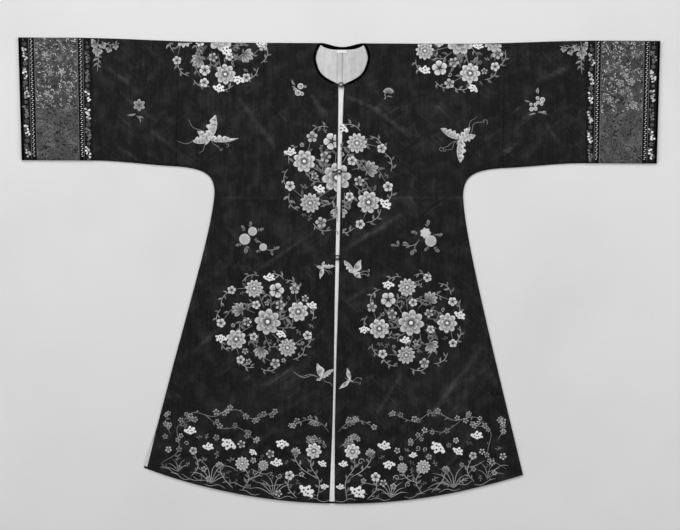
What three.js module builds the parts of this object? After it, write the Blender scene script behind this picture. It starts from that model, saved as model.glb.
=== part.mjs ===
// A Chinese silk jacket with wide sleeves and a centre-front opening, laid flat on its back with the front up.
// Millimetres, +Z up. +X is the wearer's left, +Y points to the neck, and the cloth rests on Z = 0.
//
// Every piece is cut in one frame and then laid. In the cut frame x runs out from the centre line and y is 0 at the
// shoulder fold and negative below it; both halves are cut alike. lay() then swings the skirt a little to the
// wearer's right and turns the sleeves with it, which is how the jacket lies.

import * as THREE from "three";

// Driving sizes of the cut
const SLEEVE_SPAN = 1460; // cuff to cuff along the top
const BODY_LENGTH = 1047; // shoulder fold to the lowest point of the hem
const HEM_HALF = 428; // centre to the corner of the hem
const HEM_RISE = 73; // corner of the hem above its lowest point
const CHEST_HALF = 283; // centre to the side seam, at its narrowest
const UNDERARM_DROP = 345; // where the side seam starts to turn into the sleeve
const LOOM_HALF = 371; // half the width of the silk, where the sleeve extension is sewn on
const CUFF_HALF_TOP = SLEEVE_SPAN / 2;
const CUFF_HALF_LOW = CUFF_HALF_TOP - 8; // the cuff's edge slants in
const SLEEVE_DEPTH = 270; // sleeve seam below the shoulder fold, at the cuff
const SLEEVE_DEPTH_EXTRA = 13; // and this much deeper at the underarm
const SLEEVE_RISE = 9; // the sleeves rise towards the cuffs
const NECK_RADIUS = 59; // opening inside the binding
const NECK_CENTRE_DROP = 37.5;
const NECK_TAPER = 0.045; // the neck is this share narrower below its middle
const NECK_POINT = 0.84; // and runs in to a blunt point at the opening
const BINDING_WIDTH = 6.4;
const BACK_BINDING_WIDTH = 6.2;
const BACK_NECK_DIP = 8.6; // back neck below the shoulder fold, at the centre
const SEAM_GAP = 0.3; // between pieces that are sewn together or lie on each other

// Thickness of each layer, and the height that it lies at
const BACK_CLOTH = 1.2;
const LINING_CLOTH = 1.0;
const FRONT_CLOTH = 1.5; // silk with its own lining
const TRIM_CLOTH = 1.0;
const LINING_UNDER = BACK_CLOTH + SEAM_GAP;
const LINING_OVER = LINING_UNDER + LINING_CLOTH;
const FRONT_UNDER = LINING_OVER + SEAM_GAP;
const FRONT_OVER = FRONT_UNDER + FRONT_CLOTH;
const CUFF_LIFT = TRIM_CLOTH + SEAM_GAP; // the back of the sleeve lies on its own trims at the cuff

// How the jacket lies
const SKIRT_SWING = 0.0222; // sideways shift of the centre line for each millimetre down
const SWING_PIVOT = 297; // the centre line lies at x = 0 this far below the shoulder fold
const SLEEVE_TURN = 0.0055;
const SKIRT_TURN = 0.0145; // added by the time the hem is reached

// Half the gap between the fronts, by distance below the shoulder fold
const FRONT_GAP = [
  { down: 102, half: 6.6 },
  { down: 130, half: 5.4 },
  { down: 240, half: 4.3 },
  { down: 560, half: 4.0 },
  { down: 730, half: 2.4 },
  { down: 870, half: 2.6 },
  { down: BODY_LENGTH, half: 6.0 },
];

// The largest soft folds of the front, as ridges from one point to another. x is as laid, + on the wearer's left.
const FOLDS = [
  { x: 45, down: 455, toX: 250, toDown: 335, half: 26, rise: 2.6 },
  { x: -40, down: 475, toX: -240, toDown: 395, half: 24, rise: 2.2 },
  { x: 50, down: 600, toX: 175, toDown: 505, half: 24, rise: 2.0 },
  { x: 60, down: 880, toX: 325, toDown: 705, half: 34, rise: 3.4 },
  { x: 215, down: 885, toX: 330, toDown: 740, half: 28, rise: 2.6 },
  { x: -60, down: 770, toX: -290, toDown: 860, half: 32, rise: 2.8 },
  { x: -110, down: 245, toX: -325, toDown: 120, half: 26, rise: 2.4 },
  { x: 60, down: 125, toX: 165, toDown: 205, half: 20, rise: 1.8 },
  { x: 190, down: 250, toX: 270, toDown: 110, half: 24, rise: 2.0 },
];
const FOLD_FADE_AT_OPENING = 45; // the folds die out this near the front edges
const FOLD_FADE_AT_CUFF = 540;

// Trims of each sleeve, by distance in from the cuff's edge
const TRIMS = [
  { name: "cuff_edge", from: 0, to: 5, colour: 0x0a0a0b },
  { name: "ribbon_outer", from: 5.3, to: 22.7, colour: 0x4a4a4c },
  { name: "braid_outer", from: 23, to: 34.7, colour: 0x3a3a3c },
  { name: "band", from: 35, to: 135, colour: 0x66666a },
  { name: "braid_inner", from: 135.3, to: 147, colour: 0x3a3a3c },
  { name: "ribbon_inner", from: 147.3, to: 165, colour: 0x4a4a4c },
];

const BINDING_RISE = 0.7; // the neck binding stands this far above the front
const TAPE = { from: -12.8, to: 12.2, below: 0.5, width: 6.5, thick: 1 };

// Ball buttons down the opening. lift clears the neck binding.
const FASTENINGS = [
  { name: "neck", down: 95, lift: BINDING_RISE },
  { name: "chest", down: 293, lift: 0 },
  { name: "waist", down: 488, lift: 0 },
];
const BALL_RADIUS = 4;
const CORD_RADIUS = 1;
const STEM_RADIUS = 0.9;
const CORD_SIDES = 8; // two for each curve segment of a circle

// The wearer's right vent has slipped: the back shows past the front there
const VENT_SHOWS_FROM = 870;
const VENT_SHOWS = 7;
const LINING_HEM_INSET = 4.5;
const LINING_SIDE_INSET = 1.2;

const silk = new THREE.MeshStandardMaterial({ color: 0x1d1d20, roughness: 0.55, metalness: 0 });
const liningSilk = new THREE.MeshStandardMaterial({ color: 0xc8c8c6, roughness: 0.6, metalness: 0 });
const binding = new THREE.MeshStandardMaterial({ color: 0x08080a, roughness: 0.5, metalness: 0 });
const tape = new THREE.MeshStandardMaterial({ color: 0xf2f2f0, roughness: 0.8, metalness: 0 });
const gilt = new THREE.MeshStandardMaterial({ color: 0x8c8c8c, roughness: 0.35, metalness: 1 });

const { lerp, clamp, smoothstep } = THREE.MathUtils;

// Outline of the cut

const sideSeam = new THREE.CubicBezierCurve(
  new THREE.Vector2(HEM_HALF, HEM_RISE - BODY_LENGTH),
  new THREE.Vector2(HEM_HALF - 76, -660),
  new THREE.Vector2(CHEST_HALF + 5, -440),
  new THREE.Vector2(CHEST_HALF, -UNDERARM_DROP),
);

const shoulderY = (x) => SLEEVE_RISE * smoothstep(x, 250, 600);

const sleeveSeamY = (x) => -SLEEVE_DEPTH - SLEEVE_DEPTH_EXTRA * (1 - smoothstep(x, 340, 560));

const underarm = new THREE.CubicBezierCurve(
  new THREE.Vector2(CHEST_HALF, -UNDERARM_DROP),
  new THREE.Vector2(CHEST_HALF, -302),
  new THREE.Vector2(302, -287),
  new THREE.Vector2(LOOM_HALF, sleeveSeamY(LOOM_HALF)),
);

function halfGap(down) {
  const next = FRONT_GAP.findIndex((row) => row.down >= down);
  if (next === 0) return FRONT_GAP[0].half;
  if (next < 0) return FRONT_GAP[FRONT_GAP.length - 1].half;
  const [a, b] = [FRONT_GAP[next - 1], FRONT_GAP[next]];
  return lerp(a.half, b.half, (down - a.down) / (b.down - a.down));
}

// The front neck is an arc that comes to a blunt point at the opening, and angle is 0 straight out to the side
function neckPoint(radius, angle) {
  const low = -Math.sin(angle);
  const narrower = NECK_TAPER * smoothstep(low, -0.1, 0.3) + NECK_POINT * Math.max(low, 0) ** 5;
  return new THREE.Vector2(radius * Math.cos(angle) * (1 - narrower), -radius * low - NECK_CENTRE_DROP);
}

// The angle at which the neck meets the edge of the opening
function neckStart(radius, half) {
  let [low, high] = [-Math.PI / 2, -Math.PI / 4];
  for (let i = 0; i < 40; i += 1) {
    const middle = (low + high) / 2;
    if (neckPoint(radius, middle).x < half) low = middle;
    else high = middle;
  }
  return high;
}

const FRONT_NECK = { radius: NECK_RADIUS + BINDING_WIDTH + SEAM_GAP, rows: 12 };
FRONT_NECK.from = neckStart(FRONT_NECK.radius, FRONT_GAP[0].half);
FRONT_NECK.to = Math.asin(NECK_CENTRE_DROP / FRONT_NECK.radius);
const NECK_HALF = FRONT_NECK.radius * Math.cos(FRONT_NECK.to);

const NECK_SHOULDER_HALF = Math.sqrt(NECK_RADIUS ** 2 - NECK_CENTRE_DROP ** 2);

// The back neck is a shallow dip, soft at its upper edge and flatter at the seam below its binding
const BACK_NECK_CUT = BACK_NECK_DIP + BACK_BINDING_WIDTH + SEAM_GAP;
const BACK_NECK_ROWS = 8;
const BACK_NECK_TOP = { half: NECK_SHOULDER_HALF, dip: BACK_NECK_DIP, flat: 2, soft: 1.8 };
const BACK_NECK_SEAM = { half: NECK_HALF, dip: BACK_NECK_CUT, flat: 3.5, soft: 1 };

// A point of one of these curves. share runs from 0 at the centre to 1 at the shoulder fold.
function backNeckPoint({ half, dip, flat, soft }, share, inset = 0) {
  return new THREE.Vector2((half - inset) * share, (inset - dip) * (1 - Math.abs(share) ** flat) ** soft);
}

// Where a cut point lies on the table. side is +1 on the wearer's left and -1 on the right.
function lay(x, y, side) {
  const down = -y;
  const body = 1 - smoothstep(x, 300, 620);
  const swing = SKIRT_SWING * (SWING_PIVOT - down) * body;
  const turn = SLEEVE_TURN + SKIRT_TURN * clamp((down - 300) / (BODY_LENGTH - 300), 0, 1);
  return new THREE.Vector2(side * x + swing, y - turn * side * x);
}

// Height of the soft folds at a laid point
function foldRise(point, cutX) {
  const quiet = smoothstep(cutX, 12, FOLD_FADE_AT_OPENING) * (1 - smoothstep(cutX, 400, FOLD_FADE_AT_CUFF));
  const nearNeck = smoothstep(Math.hypot(cutX, point.y + NECK_CENTRE_DROP), 75, 130);
  let rise = 0;
  for (const fold of FOLDS) {
    const along = new THREE.Vector2(fold.toX - fold.x, fold.down - fold.toDown);
    const from = new THREE.Vector2(point.x - fold.x, point.y + fold.down);
    const share = clamp(from.dot(along) / along.lengthSq(), 0, 1);
    const off = from.distanceTo(along.clone().multiplyScalar(share));
    rise = Math.max(rise, fold.rise * Math.sin(Math.PI * lerp(0.18, 0.82, share)) * Math.exp(-((off / fold.half) ** 2)));
  }
  return rise * quiet * nearNeck;
}

// Grids of cut points. Each row is one section, from its inner end to its outer end.

function section(inner, outer, shares, bow = 1) {
  return shares.map((v) => new THREE.Vector2(lerp(inner.x, outer.x, v), lerp(inner.y, outer.y, v ** bow)));
}

// One half of the body: straight rows up the skirt, then rows that fan round the underarm to the sleeve seam.
// hemInset and sideInset shorten it, and slip widens it towards the corner of the hem.
function bodyGrid({ innerX, turnStretches, shares, skirtRows, hemInset = 0, sideInset = 0, slip = 0 }) {
  const rows = [];
  for (let i = 0; i <= skirtRows; i += 1) {
    const outer = sideSeam.getPoint(i / skirtRows);
    const share = (outer.y + BODY_LENGTH - HEM_RISE) / (BODY_LENGTH - HEM_RISE - UNDERARM_DROP);
    const lift = hemInset * (1 - share);
    const innerY = lerp(-BODY_LENGTH, -UNDERARM_DROP, share) + lift;
    const wider = slip * smoothstep(-outer.y, VENT_SHOWS_FROM, BODY_LENGTH - HEM_RISE);
    outer.x += wider - sideInset;
    outer.y += lift;
    rows.push(section(new THREE.Vector2(innerX(-innerY), innerY), outer, shares, 2));
  }
  let turned = 0;
  for (const { inner, rowsIn, share } of turnStretches) {
    for (let i = 1; i <= rowsIn; i += 1) {
      const t = turned + (share * i) / rowsIn;
      const outer = underarm.getPoint(Math.min(t, 1));
      const off = underarm.getTangent(Math.min(t, 1));
      outer.add(new THREE.Vector2(-off.y, off.x).multiplyScalar(sideInset));
      outer.x = Math.min(outer.x, LOOM_HALF - SEAM_GAP / 2);
      rows.push(section(inner(i / rowsIn), outer, shares));
    }
    turned += share;
  }
  return rows;
}

const shoulderStretch = (inset = 0) => ({
  inner: (t) => {
    const x = lerp(NECK_HALF, LOOM_HALF - SEAM_GAP / 2, t);
    return new THREE.Vector2(x, shoulderY(x) - inset);
  },
  rowsIn: 7,
  share: 0.4,
});

const frontTurn = [
  {
    inner: (t) => {
      const neckFoot = neckPoint(FRONT_NECK.radius, FRONT_NECK.from).y;
      const y = lerp(-UNDERARM_DROP, neckFoot, t);
      return new THREE.Vector2(halfGap(-y), y);
    },
    rowsIn: 6,
    share: 0.28,
  },
  {
    inner: (t) => neckPoint(FRONT_NECK.radius, lerp(FRONT_NECK.from, FRONT_NECK.to, t)),
    rowsIn: FRONT_NECK.rows,
    share: 0.32,
  },
  shoulderStretch(),
];

const backTurn = (inset) => [
  {
    inner: (t) => new THREE.Vector2(SEAM_GAP / 2, lerp(-UNDERARM_DROP, -BACK_NECK_CUT, t)),
    rowsIn: 3,
    share: 0.3,
  },
  {
    inner: (t) => {
      const point = backNeckPoint(BACK_NECK_SEAM, t);
      return new THREE.Vector2(Math.max(point.x, SEAM_GAP / 2), point.y - inset * t);
    },
    rowsIn: BACK_NECK_ROWS,
    share: 0.3,
  },
  shoulderStretch(inset),
];

// A stretch of sleeve between two distances in from the cuff's edge
function sleeveGrid(from, to, rows, shares) {
  const length = CUFF_HALF_TOP - LOOM_HALF;
  const grid = [];
  for (let i = 0; i < rows.length; i += 1) {
    const inFromCuff = lerp(from, to, rows[i]);
    const share = 1 - inFromCuff / length;
    const topX = LOOM_HALF + share * (CUFF_HALF_TOP - LOOM_HALF);
    const lowX = LOOM_HALF + share * (CUFF_HALF_LOW - LOOM_HALF);
    const top = new THREE.Vector2(topX, shoulderY(topX));
    const low = new THREE.Vector2(lowX, sleeveSeamY(lowX));
    grid.push(section(top, low, shares));
  }
  return grid.reverse();
}

// A closed piece of cloth over a grid of cut points. under and over give the heights of its two faces.
function clothSolid(name, grid, side, under, over, material) {
  const rows = grid.length;
  const columns = grid[0].length;
  const positions = [];
  for (const face of [over, under]) {
    for (const row of grid) {
      for (const cut of row) {
        const laid = lay(cut.x, cut.y, side);
        positions.push(laid.x, laid.y, face(laid, cut));
      }
    }
  }
  const at = (i, j) => i * columns + j;
  const low = rows * columns;
  const index = [];
  const quad = (a, b, c, d) => {
    if (side > 0) index.push(a, b, c, a, c, d);
    else index.push(a, c, b, a, d, c);
  };
  for (let i = 0; i + 1 < rows; i += 1) {
    for (let j = 0; j + 1 < columns; j += 1) {
      quad(at(i, j), at(i, j + 1), at(i + 1, j + 1), at(i + 1, j));
      quad(low + at(i, j), low + at(i + 1, j), low + at(i + 1, j + 1), low + at(i, j + 1));
    }
  }
  const rim = [];
  for (let j = 0; j < columns; j += 1) rim.push(at(0, j));
  for (let i = 1; i < rows; i += 1) rim.push(at(i, columns - 1));
  for (let j = columns - 2; j >= 0; j -= 1) rim.push(at(rows - 1, j));
  for (let i = rows - 2; i > 0; i -= 1) rim.push(at(i, 0));
  rim.forEach((from, k) => {
    const to = rim[(k + 1) % rim.length];
    quad(low + from, low + to, to, from);
  });
  const geometry = new THREE.BufferGeometry();
  geometry.setAttribute("position", new THREE.Float32BufferAttribute(positions, 3));
  geometry.setIndex(index);
  geometry.computeVertexNormals();
  const mesh = new THREE.Mesh(geometry, material);
  mesh.name = name;
  return mesh;
}

const SIDES = [
  { name: "left", side: 1 },
  { name: "right", side: -1 },
];

const FRONT_SHARES = [0, 0.03, 0.09, 0.18, 0.28, 0.38, 0.48, 0.58, 0.68, 0.78, 0.88, 0.96, 1];
const FLAT_SHARES = [0, 0.25, 0.5, 0.75, 1];

const frontUnder = (laid, cut) => FRONT_UNDER + foldRise(laid, cut.x);
const frontOver = (laid, cut) => FRONT_OVER + foldRise(laid, cut.x);

function frontPanel({ name, side }) {
  const grid = bodyGrid({ innerX: halfGap, turnStretches: frontTurn, shares: FRONT_SHARES, skirtRows: 15 });
  return clothSolid(`front_${name}`, grid, side, frontUnder, frontOver, silk);
}

function backPanel({ name, side }) {
  const grid = bodyGrid({
    innerX: () => SEAM_GAP / 2,
    turnStretches: backTurn(0),
    shares: FLAT_SHARES,
    skirtRows: 12,
    slip: side < 0 ? VENT_SHOWS : 0,
  });
  return clothSolid(`back_${name}`, grid, side, () => 0, () => BACK_CLOTH, silk);
}

function backLining({ name, side }) {
  const grid = bodyGrid({
    innerX: () => SEAM_GAP / 2,
    turnStretches: backTurn(LINING_SIDE_INSET),
    shares: FLAT_SHARES,
    skirtRows: 12,
    hemInset: LINING_HEM_INSET,
    sideInset: LINING_SIDE_INSET,
    slip: side < 0 ? VENT_SHOWS : 0,
  });
  return clothSolid(`lining_${name}`, grid, side, () => LINING_UNDER, () => LINING_OVER, liningSilk);
}

const SEAM_IN_FROM_CUFF = CUFF_HALF_TOP - LOOM_HALF - SEAM_GAP / 2;
const TRIMS_END = TRIMS[TRIMS.length - 1].to;

function sleeveFront({ name, side }) {
  const rows = [0, 0.12, 0.24, 0.36, 0.48, 0.6, 0.7, 0.8, 0.9, 1];
  const grid = sleeveGrid(0, SEAM_IN_FROM_CUFF, rows, FRONT_SHARES);
  return clothSolid(`sleeve_front_${name}`, grid, side, frontUnder, frontOver, silk);
}

// The back of the sleeve steps up on to the trims that lie under it at the cuff
function sleeveBack({ name, side }) {
  const stepFrom = (TRIMS_END + 1) / SEAM_IN_FROM_CUFF;
  const stepTo = (TRIMS_END + 8) / SEAM_IN_FROM_CUFF;
  const grid = sleeveGrid(0, SEAM_IN_FROM_CUFF, [0, stepFrom / 2, stepFrom, stepTo, 0.75, 1], FLAT_SHARES);
  const stepX = CUFF_HALF_TOP - TRIMS_END - 8;
  const lift = (laid, cut) => (cut.x > stepX + 2 ? CUFF_LIFT : 0);
  const over = (laid, cut) => lift(laid, cut) + BACK_CLOTH;
  return clothSolid(`sleeve_back_${name}`, grid, side, lift, over, silk);
}

function sleeveTrims({ name, side }) {
  return TRIMS.flatMap((trim) => {
    const cloth = new THREE.MeshStandardMaterial({ color: trim.colour, roughness: 0.7, metalness: 0 });
    const grid = sleeveGrid(trim.from, trim.to, [0, 1], FLAT_SHARES);
    const onFront = () => FRONT_OVER + SEAM_GAP;
    const onFrontTop = () => FRONT_OVER + SEAM_GAP + TRIM_CLOTH;
    return [
      clothSolid(`${trim.name}_front_${name}`, grid, side, onFront, onFrontTop, cloth),
      clothSolid(`${trim.name}_back_${name}`, grid, side, () => 0, () => TRIM_CLOTH, cloth),
    ];
  });
}

function frontNeckBinding({ name, side }) {
  const grid = [];
  for (let i = 0; i <= FRONT_NECK.rows; i += 1) {
    const angle = lerp(FRONT_NECK.from, FRONT_NECK.to, i / FRONT_NECK.rows);
    grid.push([neckPoint(NECK_RADIUS, angle), neckPoint(NECK_RADIUS + BINDING_WIDTH, angle)]);
  }
  const over = () => FRONT_OVER + BINDING_RISE;
  return clothSolid(`neck_binding_front_${name}`, grid, side, () => FRONT_UNDER, over, binding);
}

function backNeckBinding() {
  const grid = [];
  for (let i = -BACK_NECK_ROWS; i <= BACK_NECK_ROWS; i += 1) {
    const share = i / BACK_NECK_ROWS;
    grid.push([backNeckPoint(BACK_NECK_TOP, share), backNeckPoint(BACK_NECK_SEAM, share, SEAM_GAP)]);
  }
  return clothSolid("neck_binding_back", grid, 1, () => 0, () => LINING_OVER, binding);
}

// A short plain tape sewn inside the back neck
function neckTape() {
  const top = -BACK_NECK_CUT - TAPE.below;
  const row = (x) => [new THREE.Vector2(x, top), new THREE.Vector2(x, top - TAPE.width)];
  const under = LINING_OVER + SEAM_GAP;
  const grid = [row(TAPE.from), row(TAPE.to)];
  return clothSolid("neck_tape", grid, 1, () => under, () => under + TAPE.thick, tape);
}

// A round cord along a curve
function cordSolid(name, points, radius, steps, place) {
  const shape = new THREE.Shape();
  shape.absarc(0, 0, radius, 0, 2 * Math.PI);
  const path = new THREE.CatmullRomCurve3(points, false, "centripetal");
  const geometry = new THREE.ExtrudeGeometry(shape, {
    steps,
    curveSegments: CORD_SIDES / 2,
    extrudePath: path,
  });
  const mesh = new THREE.Mesh(geometry, silk);
  mesh.name = name;
  mesh.position.copy(place);
  return mesh;
}

// A ball lies in the gap between the fronts. The loop comes from the wearer's right and goes round it, and the stem
// comes from the left and arches over the loop to the ball.
function fastening({ name, down, lift }) {
  const laid = lay(0, -down, 1);
  const place = new THREE.Vector3(laid.x, laid.y, lift);
  const ball = new THREE.Mesh(new THREE.SphereGeometry(BALL_RADIUS, 14, 8), gilt);
  ball.name = `button_${name}`;
  ball.position.copy(place).setZ(LINING_OVER + SEAM_GAP + BALL_RADIUS + lift);

  const cordZ = FRONT_OVER + SEAM_GAP + CORD_RADIUS;
  const ring = BALL_RADIUS + SEAM_GAP + CORD_RADIUS;
  const leg = [
    { x: -17, y: 1.35 },
    { x: -8.5, y: 1.5 },
    { x: -4.6, y: 3.9 },
  ];
  const arc = [90, 60, 30, 0, -30, -60, -90].map((degrees) => {
    const angle = THREE.MathUtils.degToRad(degrees);
    return new THREE.Vector3(ring * Math.cos(angle), ring * Math.sin(angle), cordZ);
  });
  const loopPoints = [
    ...leg.map(({ x, y }) => new THREE.Vector3(x, y, cordZ)),
    ...arc,
    ...leg.map(({ x, y }) => new THREE.Vector3(x, -y, cordZ)).reverse(),
  ];
  const loop = cordSolid(`loop_${name}`, loopPoints, CORD_RADIUS, 22, place);

  const onCloth = FRONT_OVER + SEAM_GAP + STEM_RADIUS;
  const overLoop = cordZ + CORD_RADIUS + SEAM_GAP + STEM_RADIUS + 0.2;
  const stemPoints = [
    new THREE.Vector3(18, 0, onCloth),
    new THREE.Vector3(11.5, 0, onCloth + 0.1),
    new THREE.Vector3(8, 0, overLoop - 0.7),
    new THREE.Vector3(5.3, 0, overLoop + 0.2),
    new THREE.Vector3(4.2, 0, overLoop + 0.3),
  ];
  const stem = cordSolid(`stem_${name}`, stemPoints, STEM_RADIUS, 10, place);
  return [ball, loop, stem];
}

const jacket = new THREE.Group();
for (const half of SIDES) {
  jacket.add(backPanel(half), backLining(half), frontPanel(half));
  jacket.add(sleeveFront(half), sleeveBack(half), ...sleeveTrims(half));
  jacket.add(frontNeckBinding(half));
}
jacket.add(backNeckBinding(), neckTape(), ...FASTENINGS.flatMap(fastening));

// The origin is at the middle of the jacket's plan, on the surface that it lies on
const middle = new THREE.Box3().setFromObject(jacket).getCenter(new THREE.Vector3());
jacket.position.set(-middle.x, -middle.y, 0);

export default jacket;
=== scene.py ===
import math
import random
from collections import namedtuple

import bmesh
import bpy
import numpy as np
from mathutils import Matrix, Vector


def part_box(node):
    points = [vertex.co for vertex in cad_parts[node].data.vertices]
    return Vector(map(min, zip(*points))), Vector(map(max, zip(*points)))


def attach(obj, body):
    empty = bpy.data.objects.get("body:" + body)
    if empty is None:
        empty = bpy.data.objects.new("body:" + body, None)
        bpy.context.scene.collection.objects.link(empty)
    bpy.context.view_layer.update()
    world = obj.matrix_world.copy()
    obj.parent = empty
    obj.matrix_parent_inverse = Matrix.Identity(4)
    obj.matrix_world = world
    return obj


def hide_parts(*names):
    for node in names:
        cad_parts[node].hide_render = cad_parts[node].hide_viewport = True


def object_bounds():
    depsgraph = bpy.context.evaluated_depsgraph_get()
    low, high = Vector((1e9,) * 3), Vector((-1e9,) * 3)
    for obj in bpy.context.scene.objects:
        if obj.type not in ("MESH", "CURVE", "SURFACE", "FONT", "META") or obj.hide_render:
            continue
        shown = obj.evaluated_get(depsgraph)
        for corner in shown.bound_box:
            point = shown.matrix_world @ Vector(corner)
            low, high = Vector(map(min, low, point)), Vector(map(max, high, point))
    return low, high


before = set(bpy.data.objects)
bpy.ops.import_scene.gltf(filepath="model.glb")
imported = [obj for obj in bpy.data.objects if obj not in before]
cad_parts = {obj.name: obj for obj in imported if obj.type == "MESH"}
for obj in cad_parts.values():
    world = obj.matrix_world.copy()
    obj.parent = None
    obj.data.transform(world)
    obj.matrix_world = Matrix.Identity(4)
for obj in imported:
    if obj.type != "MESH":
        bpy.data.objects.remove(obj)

bl_info = {
    "name": "Silk Jacket",
    "version": (1, 0, 0),
    "blender": (4, 5, 0),
    "location": "3D View > Sidebar > Silk Jacket",
    "description": "Embroidered silk jacket with wide sleeves, laid flat with its front up",
    "category": "Object",
}

CAD_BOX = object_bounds()
MM = 0.001
TAU = 2 * math.pi
SIDES = {"left": 1, "right": -1}

# The cut, in millimetres. x runs out from the centre line and y down is negative, as on a pattern.
BODY_LENGTH = 1047
HEM_HALF = 428
HEM_RISE = 73
CHEST_HALF = 283
UNDERARM_DROP = 345
LOOM_HALF = 371
CUFF_HALF = (CAD_BOX[1].x - CAD_BOX[0].x) / MM / 2
CUFF_SLANT = 8
SLEEVE_DEPTH = 270
SLEEVE_DEPTH_EXTRA = 13
SLEEVE_RISE = 9
NECK_RADIUS = 59
NECK_DROP = 37.5
NECK_TAPER = 0.045
NECK_POINT = 0.84
BINDING_WIDTH = 6.4
BACK_BINDING_WIDTH = 6.2
BACK_NECK_DIP = 8.6
SEAM_GAP = 0.3

# Heights of the layers, from the frame
BACK_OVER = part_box("back_left")[1].z / MM
LINING_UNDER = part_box("lining_left")[0].z / MM
LINING_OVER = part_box("lining_left")[1].z / MM
FRONT_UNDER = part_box("sleeve_front_left")[0].z / MM
FRONT_THICK = 1.5
FRONT_OVER = FRONT_UNDER + FRONT_THICK
TRIM_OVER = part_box("band_front_left")[1].z / MM
CUFF_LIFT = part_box("band_back_left")[1].z / MM + SEAM_GAP

# How far the outside of the back and of the trims under it stays off the floor, and the front's rolled rims
BACK_RAISED = 0.35
TRIM_RAISED = 0.3
SEAM_RIM = 2.0
SHOULDER_ROLL = 5
SLEEVE_ROLL = 7

# How the jacket lies
SKIRT_SWING = 0.0222
SWING_PIVOT = 297
SLEEVE_TURN = 0.0055
SKIRT_TURN = 0.0145

FRONT_GAP_DOWN = (102, 130, 240, 560, 730, 870, BODY_LENGTH)
FRONT_GAP_HALF = (6.6, 5.4, 4.3, 4.0, 2.4, 2.6, 6.0)

SIDE_SEAM = ((HEM_HALF, HEM_RISE - BODY_LENGTH), (352, -660), (288, -440), (CHEST_HALF, -UNDERARM_DROP))

# Soft ridges across the front: where each runs from and to, its half width and its height, below 0 for a
# trough. x is as laid. FOLDS are the large ones, which the frame has too, and CREASES are fine.
Fold = namedtuple("Fold", "x down to_x to_down half rise")
FOLDS = [
    Fold(45, 455, 250, 335, 26, 2.6),
    Fold(-40, 475, -240, 395, 24, 2.2),
    Fold(50, 600, 175, 505, 24, 2.0),
    Fold(60, 880, 325, 705, 34, 3.4),
    Fold(215, 885, 330, 740, 28, 2.6),
    Fold(-60, 770, -290, 860, 32, 2.8),
    Fold(-110, 245, -325, 120, 26, 2.4),
    Fold(60, 125, 165, 205, 20, 1.8),
    Fold(190, 250, 270, 110, 24, 2.0),
]
CREASES = [
    Fold(-226, 129, -146, 236, 7, 0.9),
    Fold(-250, 150, -196, 226, 5, -0.6),
    Fold(-66, 118, -18, 180, 6, 0.8),
    Fold(-92, 140, -52, 182, 4, 0.5),
    Fold(18, 122, 84, 150, 6, 0.9),
    Fold(80, 148, 152, 206, 7, 1.0),
    Fold(205, 175, 236, 128, 6, 0.7),
    Fold(13, 470, 140, 390, 8, 0.9),
    Fold(15, 586, 62, 560, 6, 0.7),
    Fold(70, 620, 128, 588, 6, -0.5),
    Fold(320, 698, 216, 836, 8, 1.1),
    Fold(138, 755, 90, 838, 6, 0.8),
    Fold(300, 660, 262, 724, 6, -0.6),
    Fold(-170, 780, -108, 742, 7, 0.9),
    Fold(-120, 830, -52, 792, 6, 0.7),
    Fold(-60, 430, -190, 520, 7, 0.7),
    Fold(-255, 420, -205, 470, 6, 0.6),
    Fold(-330, 700, -262, 640, 7, 0.8),
    Fold(-24, 640, -80, 700, 5, 0.5),
    Fold(-210, 930, -150, 880, 7, 0.7),
    Fold(60, 950, 124, 902, 6, 0.7),
    Fold(250, 960, 300, 890, 7, 0.8),
    Fold(-470, 96, -520, 62, 7, 0.8),
    Fold(-420, 176, -480, 128, 7, 0.9),
    Fold(-362, 250, -430, 198, 6, 0.6),
    Fold(-505, 236, -452, 268, 6, 0.6),
    Fold(-540, 150, -500, 205, 5, -0.5),
    Fold(452, 88, 520, 54, 7, 0.8),
    Fold(398, 196, 462, 140, 7, 0.9),
    Fold(350, 262, 412, 226, 6, 0.6),
    Fold(500, 232, 470, 180, 6, 0.6),
    Fold(330, 60, 300, 130, 5, 0.5),
    Fold(-300, 60, -270, 110, 5, 0.5),
    Fold(-300, 353, 300, 351, 4, 0.35),
]

# The trims of a sleeve, by distance in from the cuff's edge
TRIMS = {
    "cuff_edge": {"from": 0, "to": 5, "slot": "binding"},
    "ribbon_outer": {"from": 5.3, "to": 22.7, "slot": "ribbon"},
    "braid_outer": {"from": 23, "to": 34.7, "slot": "braid"},
    "band": {"from": 35, "to": 135, "slot": "band"},
    "braid_inner": {"from": 135.3, "to": 147, "slot": "braid"},
    "ribbon_inner": {"from": 147.3, "to": 165, "slot": "ribbon"},
}
TRIMS_END = 165

FASTENINGS = {
    "neck": {"down": 95, "lift": 0.7},
    "chest": {"down": 293, "lift": 0},
    "waist": {"down": 488, "lift": 0},
}


class JacketCloth(bpy.types.PropertyGroup):
    silk_tone: bpy.props.FloatProperty(
        name="Silk", description="Grey of the dark silk", default=0.0105, min=0, max=1, subtype="FACTOR"
    )
    lining_tone: bpy.props.FloatProperty(
        name="Lining", description="Grey of the pale lining", default=0.67, min=0, max=1, subtype="FACTOR"
    )
    band_tone: bpy.props.FloatProperty(
        name="Sleeve band", description="Grey of the sleeve bands",
        default=0.064, min=0, max=1, subtype="FACTOR",
    )
    binding_tone: bpy.props.FloatProperty(
        name="Binding", description="Grey of the black bindings",
        default=0.002, min=0, max=1, subtype="FACTOR",
    )
    grid_step: bpy.props.FloatProperty(
        name="Cloth detail", description="Spacing of the points of a front panel",
        default=0.0065, unit="LENGTH",
    )
    rim_radius: bpy.props.FloatProperty(
        name="Seam roll", description="How far in from a seam the front rolls down",
        default=0.007, unit="LENGTH",
    )


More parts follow.
